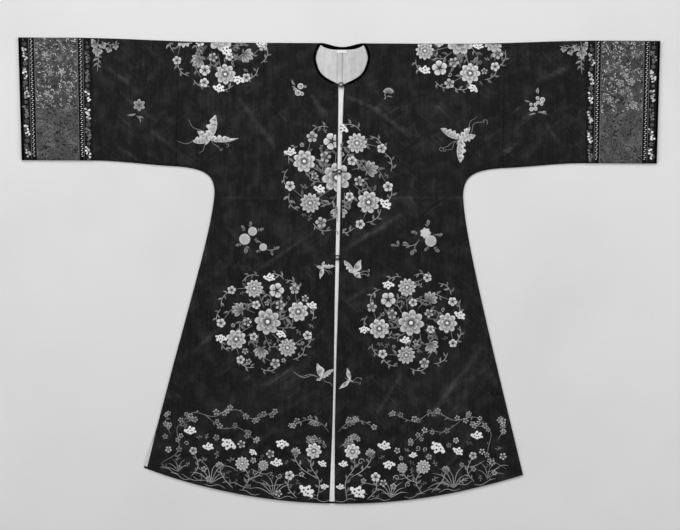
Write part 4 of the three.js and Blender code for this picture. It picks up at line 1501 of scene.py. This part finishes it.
def lining_panel(name, side):
    """The back's lining, with the centre seam pressed to one side under it and a few shallow wrinkles."""
    slip = VENT_SHOWS + 1 if side < 0 else 0
    grid = body_grid(False, 11, hem_inset=4.5, side_inset=2.5, slip=slip, near=SEAM_STEPS)
    x, y = np.moveaxis(lay(grid["points"], side), -1, 0)
    cut_x, cut_y = np.moveaxis(grid["points"], -1, 0)
    from_centre = side * cut_x
    seam = 0.45 * np.exp(-(((from_centre + 4.2) / 6.2) ** 8))
    wrinkle = 0.16 * np.sin(x / 7.5 + 0.8 * np.sin(y / 31)) * np.sin(y / 47 + x / 29)
    shown = smooth(grid["from_inner"], 0, 9) * (1 - smooth(cut_x, 52, 60))
    over = np.full(x.shape, LINING_OVER) + seam * 0.6 + wrinkle * shown * 0.8
    under = np.full(x.shape, LINING_UNDER)
    # Painted shade: dark lines along both edges of the pressed seam turnings, painted fainter where the
    # lining shows between the fronts.
    line = 0.62 * np.exp(-(((from_centre - 2.1) / 0.8) ** 2))
    line += 0.3 * np.exp(-(((from_centre + 10.4) / 0.9) ** 2))
    in_gap = (1 - smooth(cut_x, 9, 14)) * smooth(-cut_y, 96, 104)
    # Painted shade on the wrinkles; the lining is also painted darker towards +x.
    tones = 1 - line * (1 - 0.8 * in_gap) - 0.1 * smooth(x, -20, 60) - 0.6 * np.abs(wrinkle) * shown
    # The band over the seam turnings is painted a little darker in its upper part.
    turnings = smooth(from_centre, -11.4, -9.4) * (1 - smooth(from_centre, 1.2, 2.6))
    tones = tones - 0.1 * turnings * (1 - smooth(-cut_y, 62, 76))
    # Painted highlight: the lining that shows in the gap between the fronts is painted brighter, making up
    # for the shade between the front edges.
    tones = tones + 0.42 * in_gap
    piece = cloth(f"lining_back_{name}", grid["points"], over, under, side, tones)
    return finish_piece(piece, finish("lining"), [f"lining_{name}"])


def sleeve_front(name, side):
    grid = sleeve_grid(0, SLEEVE_REACH, 6, 6)
    over, under, tones = front_wall(grid, side, grid["from_shoulder"], SLEEVE_ROLL)
    piece = cloth(f"silk_sleeve_front_{name}", grid["points"], over, under, side, tones)
    return finish_piece(piece, finish("silk"), [f"sleeve_front_{name}"])


def sleeve_back(name, side):
    grid = sleeve_grid(0, SLEEVE_REACH, 8, 20)
    step = smooth(grid["points"][..., 0], CUFF_HALF - TRIMS_END - 8, CUFF_HALF - TRIMS_END)
    under = mix(BACK_RAISED, CUFF_LIFT, step)
    over = mix(BACK_OVER, CUFF_LIFT + 0.5, step)
    piece = cloth(f"silk_sleeve_back_{name}", grid["points"], over, under, side)
    return finish_piece(piece, finish("silk"), [f"sleeve_back_{name}"])


def trim_cloths(name, side):
    """The trims of one sleeve, front and back, each a strip of its own."""
    for trim, row in TRIMS.items():
        grid = sleeve_grid(row["from"], row["to"], 8, 9)
        worn = 1 - roll(grid["from_ends"], 0.9)
        share = rim_share(grid["from_shoulder"], grid["from_outer"], SLEEVE_ROLL)
        over = rolled(share) + TRIM_OVER - FRONT_OVER
        over -= 0.3 * worn
        under = np.maximum(over - 1.0 - 0.2 * worn, 1.6)
        front = cloth(f"{trim}_front_{name}", grid["points"], over, under, side)
        finish_piece(front, finish(row["slot"]), [f"{trim}_front_{name}"])
        under = np.full_like(over, TRIM_RAISED) + 0.2 * worn
        over = np.full_like(over, CUFF_LIFT - SEAM_GAP)
        back = cloth(f"{trim}_back_{name}", grid["points"], over, under, side)
        finish_piece(back, finish(row["slot"]), [f"{trim}_back_{name}"])


def cuff_place(inward, down, side):
    """The laid place at a distance in from the cuff's edge and down from the shoulder fold."""
    share = 1 - inward / (CUFF_HALF - LOOM_HALF)
    top_x = mix(LOOM_HALF, CUFF_HALF, share)
    low_x = mix(LOOM_HALF, CUFF_HALF - CUFF_SLANT, share)
    top_y, low_y = float(shoulder_y(top_x)), float(sleeve_seam_y(low_x))
    t = down / (top_y - low_y)
    return lay(np.array([mix(top_x, low_x, t), mix(top_y, low_y, t)]), side)


SLEEVE_HEIGHT = SLEEVE_DEPTH + SLEEVE_RISE


def ribbon_flowers(work, start, end, side, phase, seed):
    """Woven flowers of a ribbon: a long pale cluster, slanted, and a dim flower with leaves, by turns."""
    pick = random.Random(seed)
    middle = (start + end) / 2
    for k in range(14):
        down = 2 + 22 * k + phase % 22
        if not 13 < down < SLEEVE_HEIGHT - 13:
            continue
        lean = pick.uniform(0.16, 0.32)
        x, y = cuff_place(middle + pick.uniform(-0.6, 0.6), down, side)
        if k % 2:
            bright = pick.choice((0.2, 0.7, 1.0, 1.0))
            for n, step in enumerate((-12, -9, -5.5, -2.5, 0.5, 3.5, 6.5, 9.5, 12)):
                out = (1.9 if n % 2 else -1.9) + pick.uniform(-1.4, 1.4)
                place = (x - lean * step + out, y + step + pick.uniform(-1, 1))
                tone = bright * pick.choice((0.1, 0.6, 1.0, 1.0))
                angle = math.pi * (0 if n % 2 else 1) + pick.uniform(-1.2, 1.2)
                long, wide = pick.uniform(5.5, 8), pick.uniform(4.2, 6)
                foot = polar(*place, angle, -3)
                work.petal(*foot, angle, long, wide, tone * 0.8, tone, tone, 0.12 * work.rise * (n % 3))
        else:
            work.flower("dim", x, y, pick.uniform(4, 6), lean, pick.uniform(0.2, 0.6))
        for hand in (-1, 1):
            turned = math.pi / 2 * hand + pick.uniform(-0.7, 0.7)
            foot_x, length = x + pick.uniform(-3, 3), pick.uniform(6, 8)
            work.leaf(foot_x, y + 7 * hand, turned, length, 2.4, pick.uniform(0.06, 0.3))


def long_line(work, inward, width, tone, side):
    line = [cuff_place(inward, down, side) for down in (2, SLEEVE_HEIGHT / 2, SLEEVE_HEIGHT - 2)]
    work.cord(line, width, tone, count=24, taper=1.0)


def braid_dots(work, centre, side):
    """A flat braid: a chain of slanted pale stitches, each one lying a little to one side by turns."""
    pitch = 4.5
    for k in range(int((SLEEVE_HEIGHT - 6) / pitch)):
        x, y = cuff_place(centre + (0.9 if k % 2 else -0.9), 4 + k * pitch, side)
        path = [(x - 1.7, y - 0.9), (x, y), (x + 1.7, y + 0.9)]
        work.strip(path, [0.6, 1.0, 0.6], [0.05, 0.95, 0.95, 0.05], section=CORD_SECTION)


def band_pattern(work, side, seed):
    """Tone-on-tone needlework of the band: flowers, curls and short waves over its upper two thirds."""
    pick = random.Random(seed)
    placed = []
    wanted = [(8, 12, "flower")] * 14 + [(2.8, 5.4, "curl")] * 4200
    for low, high, kind in wanted:
        inward, down = pick.uniform(38, 132), 160 * pick.random() ** 0.95
        size = pick.uniform(low, high)
        if min(inward - 36, 134 - inward, down - 0.5) < size * 0.9:
            continue
        if any((inward - a) ** 2 + (down - b) ** 2 < (0.88 * (size + s)) ** 2 for a, b, s in placed):
            continue
        placed.append((inward, down, size))
        x, y = cuff_place(inward, down, side)
        tone = 0.012 if pick.random() < 0.32 else 0.3 + 0.6 * pick.random() ** 1.5
        turned, hand = pick.uniform(0, TAU), pick.choice((-1, 1))
        if kind == "flower":
            for k in range(5):
                angle = turned + TAU * k / 5
                work.curl(*polar(x, y, angle, size * 0.62), size * 0.36, angle + 2.6, hand, 1.5, tone, 1.0, 8)
            work.curl(x, y, size * 0.34, turned, -hand, 1.5, tone, 1.1, 8)
        elif size > 3.8:
            work.curl(x, y, size, turned, hand, 1.8, tone, pick.uniform(0.6, 1.0), 7)
        else:
            wave = [polar(x, y, turned, -size), (x + 0.6, y), polar(x, y, turned, size)]
            work.cord(wave, 1.8, tone, count=4)
    for inward in (36.4, 133.6):
        long_line(work, inward, 0.9, 0.2, side)


def neck_bindings():
    for name, side in SIDES.items():
        angle = np.linspace(NECK_FROM, NECK_TO, 60)
        across = np.array([0, 0.06, 0.18, 0.35, 0.5, 0.65, 0.82, 0.94, 1.0])
        radius = NECK_RADIUS + BINDING_WIDTH * across
        points = neck_point(radius[None, :], angle[:, None])
        crown = np.sqrt(np.maximum(1 - (2 * across - 1) ** 2, 0))[None, :]
        top = FRONT_OVER - 0.55 + 1.25 * crown + 0.05 * np.sin(angle * 90)[:, None]
        rise = smooth(NECK_TO - angle, 0, 0.12)[:, None]
        over = SEAM_RIM + (top - SEAM_RIM) * mix(0.35, 1.0, rise)
        under = np.minimum(FRONT_UNDER + 0 * over, over - 0.4)
        piece = cloth(f"neck_binding_front_{name}", points, over, under, side)
        finish_piece(piece, finish("binding"), [f"neck_binding_front_{name}"])
    share = np.linspace(-1, 1, 61)
    across = np.array([0, 0.08, 0.25, 0.5, 0.75, 0.92, 1.0])
    shoulder_half = math.sqrt(NECK_RADIUS**2 - NECK_DROP**2)
    top = back_neck(shoulder_half, BACK_NECK_DIP, share, *BACK_NECK_TOP)
    low = back_neck(NECK_HALF - SEAM_GAP, BACK_NECK_CUT - SEAM_GAP, share, *BACK_NECK_SEAM)
    points = mix(top[:, None, :], low[:, None, :], across[None, :, None])
    crown = np.sqrt(np.maximum(1 - (2 * across - 1) ** 2, 0))[None, :] + 0 * share[:, None]
    over = LINING_OVER - 0.5 + 0.9 * crown
    piece = cloth("neck_binding_back", points, over, 0.15 + 0.3 * (1 - crown), 1)
    finish_piece(piece, finish("binding"), ["neck_binding_back"])


def neck_tape():
    """A plain woven tape, stitched down at both ends."""
    low, high = (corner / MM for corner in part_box("neck_tape"))
    u, v = np.linspace(0, 1, 40), spread(7, 0.8, (0, 0.15, 0.4))
    x = mix(low.x, high.x, u)[:, None] + 0 * v[None, :]
    y = mix(high.y, low.y, v)[None, :] + 0.12 * np.sin(x / 3)
    cut_x, down, side = unlay(x, y)
    ends = np.exp(-((np.minimum(u, 1 - u) * (high.x - low.x) / 1.6) ** 2))[:, None]
    bow = 0.25 * np.sin(math.pi * u)[:, None]
    over = LINING_OVER + 0.75 + bow - 0.3 * ends + 0 * v[None, :]
    tones = 1 - 0.25 * ends + 0 * v[None, :]
    piece = cloth("neck_tape", np.stack([side * cut_x, -down], -1), over, over - 0.5, 1, tones)
    return finish_piece(piece, finish("tape"), ["neck_tape"])


BALL_RADIUS = 4
BALL_SIDES = 32
BALL_STEPS = 24
CORD_RADIUS = 1
CORD_TONE = 0.012


def tube(name, path, radius, twist, sides=10):
    """A round cord of twisted strands along a path in millimetres."""
    centre = along(path, 12 * len(path))
    step = np.gradient(centre, axis=0)
    step /= np.linalg.norm(step, axis=1)[:, None]
    side = np.cross(step, [0, 0, 1.0])
    side /= np.maximum(np.linalg.norm(side, axis=1), 1e-9)[:, None]
    up = np.cross(side, step)
    length = np.concatenate([[0], np.cumsum(np.linalg.norm(np.diff(centre, axis=0), axis=1))])
    angle = np.arange(sides) * TAU / sides
    swell = 1 + 0.1 * np.cos(2 * angle[None, :] - length[:, None] * twist)
    ends = roll(np.minimum(length, length[-1] - length), radius)[:, None] * 0.9 + 0.1
    reach = radius * swell * ends
    ring = side[:, None, :] * np.cos(angle)[None, :, None] + up[:, None, :] * np.sin(angle)[None, :, None]
    points = centre[:, None, :] + ring * reach[..., None]
    rows = len(centre)
    at = np.arange(rows * sides).reshape(rows, sides)
    following = np.roll(at, -1, axis=1)
    quads = np.stack([at[:-1], at[1:], following[1:], following[:-1]], -1).reshape(-1, 4)
    faces = quads.tolist() + [at[0].tolist(), at[-1][::-1].tolist()]
    across = np.broadcast_to(angle * radius, (rows, sides))
    threads = np.stack([across, np.repeat(length[:, None], sides, 1)], -1)
    tones = np.full(rows * sides, CORD_TONE)
    return new_piece(name, points.reshape(-1, 3), faces, tones, threads.reshape(-1, 2))


def ball(name, place, radius):
    """A cast ball with a raised girdle and a small shank on top."""
    profile = []
    for k in range(BALL_STEPS + 1):
        angle = -math.pi / 2 + math.pi * k / BALL_STEPS
        swell = 0.16 * math.exp(-((angle / 0.13) ** 2))
        profile.append(((radius - 0.16 + swell) * math.cos(angle), (radius - 0.16) * math.sin(angle)))
    x, y, z = place
    points = [(x, y, z + profile[0][1])]
    for reach, height in profile[1:-1]:
        for k in range(BALL_SIDES):
            angle = TAU * k / BALL_SIDES
            ribs = 1 - 0.012 * (1 + math.cos(8 * angle)) * abs(height) / radius
            out = reach * ribs
            points.append((x + out * math.cos(angle), y + out * math.sin(angle), z + height))
    points.append((x, y, z + profile[-1][1]))
    faces = []
    rings = len(profile) - 2
    for k in range(BALL_SIDES):
        n = (k + 1) % BALL_SIDES
        faces.append([0, 1 + n, 1 + k])
        for r in range(rings - 1):
            a = 1 + r * BALL_SIDES
            faces.append([a + k, a + n, a + BALL_SIDES + n, a + BALL_SIDES + k])
        last = 1 + (rings - 1) * BALL_SIDES
        faces.append([last + k, last + n, len(points) - 1])
    return new_piece(name, points, faces)


def fastening(name, down, lift):
    place = lay(np.array([0.0, -down]), 1)
    x, y = float(place[0]), float(place[1])
    ball_z = LINING_OVER + SEAM_GAP + BALL_RADIUS + lift
    button = ball(f"button_{name}", (x, y, ball_z), BALL_RADIUS)
    finish_piece(button, finish("button"), [f"button_{name}"])
    cord_z = FRONT_OVER + SEAM_GAP + CORD_RADIUS + lift
    ring = BALL_RADIUS + SEAM_GAP + CORD_RADIUS
    leg = [(-17, 1.35), (-8.5, 1.5), (-4.6, 3.9)]
    path = [(x + dx, y + dy, cord_z) for dx, dy in leg]
    for degrees in range(90, -91, -30):
        angle = math.radians(degrees)
        path.append((x + ring * math.cos(angle), y + ring * math.sin(angle), cord_z))
    path += [(x + dx, y - dy, cord_z) for dx, dy in reversed(leg)]
    loop = tube(f"loop_{name}", path, CORD_RADIUS * 0.95, 3.2)
    finish_piece(loop, finish("cord"), [f"loop_{name}"])
    on_cloth = FRONT_OVER + SEAM_GAP + 0.9 + lift
    over_loop = cord_z + CORD_RADIUS + SEAM_GAP + 1.1
    heights = [(18, on_cloth), (11.5, on_cloth + 0.1)]
    heights += [(8, over_loop - 0.7), (5.3, over_loop + 0.2), (4.2, over_loop + 0.3)]
    stem = tube(f"stem_{name}", [(x + dx, y, z) for dx, z in heights], 0.86, 3.6)
    finish_piece(stem, finish("cord"), [f"stem_{name}"])


# What each cloth lies on, and what is sewn to it and too narrow or too fine to be a sheet of its own
SHEETS = {
    "silk_back_{}": {"on": "floor", "with": ("embroidery_back_{}",)},
    "lining_back_{}": {"on": "silk_back_{}"},
    "silk_front_{}": {
        "on": "lining_back_{}",
        "with": (
            "neck_binding_front_{}", "roundel_chest_{}", "roundel_lower_{}", "roundel_shoulder_{}",
            "hem_border_{}", "motifs_{}",
        ),
    },
    "silk_sleeve_back_{}": {"on": "band_back_{}", "with": ("cuff_edge_back_{}",)},
    "silk_sleeve_front_{}": {"on": "silk_sleeve_back_{}", "with": ("cuff_edge_front_{}", "sprays_sleeve_{}")},
    "band_front_{}": {"on": "silk_sleeve_front_{}", "with": ("band_needlework_{}",)},
    "band_back_{}": {"on": "floor"},
}
for trim in ("ribbon_outer", "ribbon_inner", "braid_outer", "braid_inner"):
    sewn = "flowers" if trim.startswith("ribbon") else "dots"
    SHEETS[trim + "_front_{}"] = {"on": "silk_sleeve_front_{}", "with": (f"{trim}_{sewn}_{{}}",)}
    SHEETS[trim + "_back_{}"] = {"on": "floor", "with": (f"{trim}_{sewn}_back_{{}}",)}


def declare_sheets():
    """Looks up, for each cloth piece that shows, the pieces that are sewn to it."""
    for name in SIDES:
        for sheet, row in SHEETS.items():
            extra = [PIECES[piece.format(name)] for piece in row.get("with", ())]
            if sheet == "lining_back_{}" and name == "left":
                extra += [PIECES["neck_binding_back"], PIECES["neck_tape"]]


# Operators


FLOOR_HALF = 4.0
FLOOR_BELOW = 0.0002
EYE_PLACE = (0.0017, 0.0125)  # over the floor, a little off the frame's origin


class JACKET_OT_stage(bpy.types.Operator):
    """Make the floor, the soft studio lights and the camera"""

    bl_idname = "jacket.stage"
    bl_label = "Stage"

    def execute(self, context):
        settings = context.scene.jacket_stage
        context.scene.view_settings.view_transform = "Standard"
        mesh = bpy.data.meshes.new("floor")
        corners = [(x * FLOOR_HALF, y * FLOOR_HALF, 0) for x, y in ((-1, -1), (1, -1), (1, 1), (-1, 1))]
        mesh.from_pydata(corners, [], [(0, 1, 2, 3)])
        floor = bpy.data.objects.new("floor", mesh)
        floor.location.z = -FLOOR_BELOW
        context.scene.collection.objects.link(floor)
        material, tree, shader = start_material("paper_floor", 0.9, 0.0, 0.1)
        age = group_node(tree, shared_group(age_group), Patches=-0.05, Flecks=-0.03, Patch_Scale=3.0)
        value = maths(tree, "MULTIPLY", age.outputs["Tone"], settings.floor_tone)
        tree.links.new(grey_colour(tree, value), shader.inputs["Base Color"])
        mesh.materials.append(material)
        self.light(context, "key", (-0.3, 3.0, 2.6), 2.4, settings.key_power)
        self.light(context, "side_left", (-3.1, 0.4, 2.5), 2.0, settings.fill_power)
        self.light(context, "side_right", (3.1, -0.1, 2.5), 2.0, settings.fill_power)
        world = bpy.data.worlds.new("room")
        world.use_nodes = True
        world.node_tree.nodes["Background"].inputs["Color"].default_value = (1, 1, 1, 1)
        world.node_tree.nodes["Background"].inputs["Strength"].default_value = settings.world_strength
        context.scene.world = world
        camera = bpy.data.cameras.new("camera")
        camera.sensor_width = 36
        camera.lens = camera.sensor_width * settings.camera_height / settings.view_width
        camera.clip_end = 50
        eye = bpy.data.objects.new("camera", camera)
        eye.location = (*EYE_PLACE, settings.camera_height)
        context.scene.collection.objects.link(eye)
        context.scene.camera = eye
        return {"FINISHED"}

    def light(self, context, name, place, size, power):
        lamp = bpy.data.lights.new(name, "AREA")
        lamp.shape = "DISK"
        lamp.size = size
        lamp.energy = power
        item = bpy.data.objects.new(name, lamp)
        item.location = place
        item.rotation_euler = (-Vector(place)).to_track_quat("-Z", "Y").to_euler()
        context.scene.collection.objects.link(item)


class JACKET_OT_back(bpy.types.Operator):
    """Make the back panels and their lining"""

    bl_idname = "jacket.back"
    bl_label = "Back and lining"

    def execute(self, context):
        for name, side in SIDES.items():
            back_panel(name, side)
            lining_panel(name, side)
        return {"FINISHED"}


class JACKET_OT_fronts(bpy.types.Operator):
    """Make the two front panels with their folds"""

    bl_idname = "jacket.fronts"
    bl_label = "Fronts"

    def execute(self, context):
        for name, side in SIDES.items():
            front_panel(name, side)
        return {"FINISHED"}


class JACKET_OT_sleeves(bpy.types.Operator):
    """Make the sleeve extensions, front and back"""

    bl_idname = "jacket.sleeves"
    bl_label = "Sleeves"

    def execute(self, context):
        for name, side in SIDES.items():
            sleeve_back(name, side)
            sleeve_front(name, side)
        return {"FINISHED"}


class JACKET_OT_trims(bpy.types.Operator):
    """Make the cuff trims: edge bindings, ribbons, braids and the wide bands, with their needlework"""

    bl_idname = "jacket.trims"
    bl_label = "Sleeve trims"

    def execute(self, context):
        rise = context.scene.jacket_embroidery.relief / MM
        for name, side in SIDES.items():
            trim_cloths(name, side)
            self.needlework(name, side, rise)
        return {"FINISHED"}

    def needlework(self, name, side, rise):
        thread = finish("thread")
        faces = (("", trim_ground, False), ("_back", trim_back_ground, True))
        for trim in ("ribbon_outer", "ribbon_inner"):
            row, seed = TRIMS[trim], SEEDS[trim]
            for face, ground, under in faces:
                work = Needlework(rise * 0.7)
                ribbon_flowers(work, row["from"], row["to"], side, 7 * seed, seed + side)
                piece = work.piece(f"{trim}_flowers{face}_{name}", ground, under)
                finish_piece(piece, thread)
        for trim in ("braid_outer", "braid_inner"):
            row = TRIMS[trim]
            rim = row["from"] + 0.6 if trim == "braid_outer" else row["to"] - 0.6
            for face, ground, under in faces:
                work = Needlework(rise * 0.9)
                braid_dots(work, (row["from"] + row["to"]) / 2, side)
                long_line(work, rim, 0.8, 0.3, side)
                finish_piece(work.piece(f"{trim}_dots{face}_{name}", ground, under), thread)
        work = Needlework(rise * 0.6)
        band_pattern(work, side, SEEDS["band"] + side)
        finish_piece(work.piece(f"band_needlework_{name}", trim_ground), thread)


class JACKET_OT_neck(bpy.types.Operator):
    """Make the neck bindings and the tape inside the back neck"""

    bl_idname = "jacket.neck"
    bl_label = "Neck"

    def execute(self, context):
        neck_bindings()
        neck_tape()
        return {"FINISHED"}


class JACKET_OT_fastenings(bpy.types.Operator):
    """Make the ball buttons with their loops and stems"""

    bl_idname = "jacket.fastenings"
    bl_label = "Fastenings"

    def execute(self, context):
        for name, row in FASTENINGS.items():
            fastening(name, row["down"], row["lift"])
        return {"FINISHED"}


class JACKET_OT_roundels(bpy.types.Operator):
    """Embroider the flower roundels on the chest, the skirt and the shoulders"""

    bl_idname = "jacket.roundels"
    bl_label = "Roundels"

    def execute(self, context):
        settings = context.scene.jacket_embroidery
        rise, thread = settings.relief / MM, finish("thread")
        for name, side in SIDES.items():
            chest, lower, shoulder = Needlework(rise), Needlework(rise), Needlework(rise)
            x, y = CHEST_ROUNDEL
            roundel(chest, x, y, settings.chest_radius / MM, CHEST_TURNED, 1, SEEDS["chest"])
            gap = float(front_gap(y - SHOULDER_AT)) + 0.8
            piece = chest.piece(f"roundel_chest_{name}", front_ground)
            trim_piece(piece, lay(np.array([gap, y - SHOULDER_AT]), side), (-side, -SKIRT_SWING * side))
            finish_piece(piece, thread)
            radius = settings.lower_radius / MM
            roundel(lower, *LOWER_ROUNDELS[name], radius, LOWER_TURNED[name], side, SEEDS["lower"] + side)
            finish_piece(lower.piece(f"roundel_lower_{name}", front_ground), thread)
            x, y = SHOULDER_ROUNDEL
            radius, turned = settings.shoulder_radius / MM, SHOULDER_TURNED[name]
            roundel(shoulder, x * side, y, radius, turned, side, SEEDS["shoulder"] + side, more=SHOULDER_MORE)
            piece = shoulder.piece(f"roundel_shoulder_{name}", front_ground)
            fold = lay(np.array([x, float(shoulder_y(x)) - 0.6]), side)
            trim_piece(piece, fold, (SLEEVE_TURN * side, 1))
            finish_piece(piece, thread)
        return {"FINISHED"}


class JACKET_OT_border(bpy.types.Operator):
    """Embroider the flower border above the hem"""

    bl_idname = "jacket.border"
    bl_label = "Hem border"

    def execute(self, context):
        rise = context.scene.jacket_embroidery.relief / MM
        for name, side in SIDES.items():
            work = Needlework(rise)
            hem_border(work, side, SEEDS["border"] + side)
            finish_piece(work.piece(f"hem_border_{name}", front_ground), finish("thread"))
        return {"FINISHED"}


class JACKET_OT_motifs(bpy.types.Operator):
    """Embroider the butterflies, fruit sprays and sprigs between the roundels"""

    bl_idname = "jacket.motifs"
    bl_label = "Small motifs"

    def execute(self, context):
        rise, thread = context.scene.jacket_embroidery.relief / MM, finish("thread")
        for name, side in SIDES.items():
            work, sleeve = Needlework(rise), Needlework(rise)
            small_motifs(work, name, side)
            finish_piece(work.piece(f"motifs_{name}", front_ground), thread)
            sprig(sleeve, SLEEVE_SPRIGS[name])
            top = lay(np.array([CUFF_SPRAY_OUT, float(shoulder_y(CUFF_SPRAY_OUT))]), side)
            cuff_spray(sleeve, float(top[0]), float(top[1]) - 4, -side, SEEDS["cuff_spray"])
            piece = sleeve.piece(f"sprays_sleeve_{name}", front_ground)
            trim_piece(piece, (top[0], top[1] - 0.6), (SLEEVE_TURN * side, 1))
            finish_piece(piece, thread)
        return {"FINISHED"}


class JACKET_OT_back_embroidery(bpy.types.Operator):
    """Embroider the outside of the back, which lies on the floor"""

    bl_idname = "jacket.back_embroidery"
    bl_label = "Back embroidery"

    def execute(self, context):
        settings = context.scene.jacket_embroidery
        for name, side in SIDES.items():
            work, radius = Needlework(settings.relief / MM), settings.lower_radius / MM
            seed = SEEDS["back_lower"] + side
            roundel(work, *LOWER_ROUNDELS[name], radius, -0.9 * side, -side, seed, 60)
            hem_border(work, side, SEEDS["back_border"] + side, 40)
            fruit_spray(work, name)
            piece = work.piece(f"embroidery_back_{name}", back_ground, under=True)
            finish_piece(piece, finish("thread"))
        return {"FINISHED"}


class JACKET_OT_sheets(bpy.types.Operator):
    """Look up the pieces sewn to each cloth piece"""

    bl_idname = "jacket.sheets"
    bl_label = "Flat cuts"

    def execute(self, context):
        declare_sheets()
        return {"FINISHED"}


OPERATORS = (
    JACKET_OT_stage,
    JACKET_OT_back,
    JACKET_OT_fronts,
    JACKET_OT_sleeves,
    JACKET_OT_trims,
    JACKET_OT_neck,
    JACKET_OT_fastenings,
    JACKET_OT_roundels,
    JACKET_OT_border,
    JACKET_OT_motifs,
    JACKET_OT_back_embroidery,
    JACKET_OT_sheets,
)


class JACKET_PT_panel(bpy.types.Panel):
    """Sizes, tones and the steps that make the jacket"""

    bl_idname = "JACKET_PT_panel"
    bl_label = "Silk Jacket"
    bl_space_type = "VIEW_3D"
    bl_region_type = "UI"
    bl_category = "Silk Jacket"

    def draw(self, context):
        scene = context.scene
        for settings in (scene.jacket_cloth, scene.jacket_embroidery, scene.jacket_stage):
            box = self.layout.box()
            for name in settings.__annotations__:
                box.prop(settings, name)
        for operator in OPERATORS:
            self.layout.operator(operator.bl_idname)


CLASSES = (JacketCloth, JacketEmbroidery, JacketStage, *OPERATORS, JACKET_PT_panel)


def register():
    for item in CLASSES:
        bpy.utils.register_class(item)
    bpy.types.Scene.jacket_cloth = bpy.props.PointerProperty(type=JacketCloth)
    bpy.types.Scene.jacket_embroidery = bpy.props.PointerProperty(type=JacketEmbroidery)
    bpy.types.Scene.jacket_stage = bpy.props.PointerProperty(type=JacketStage)


def unregister():
    del bpy.types.Scene.jacket_stage
    del bpy.types.Scene.jacket_embroidery
    del bpy.types.Scene.jacket_cloth
    for item in reversed(CLASSES):
        bpy.utils.unregister_class(item)


def main():
    register()
    for operator in OPERATORS:
        space, name = operator.bl_idname.split(".")
        getattr(getattr(bpy.ops, space), name)()


if __name__ == "__main__":
    main()
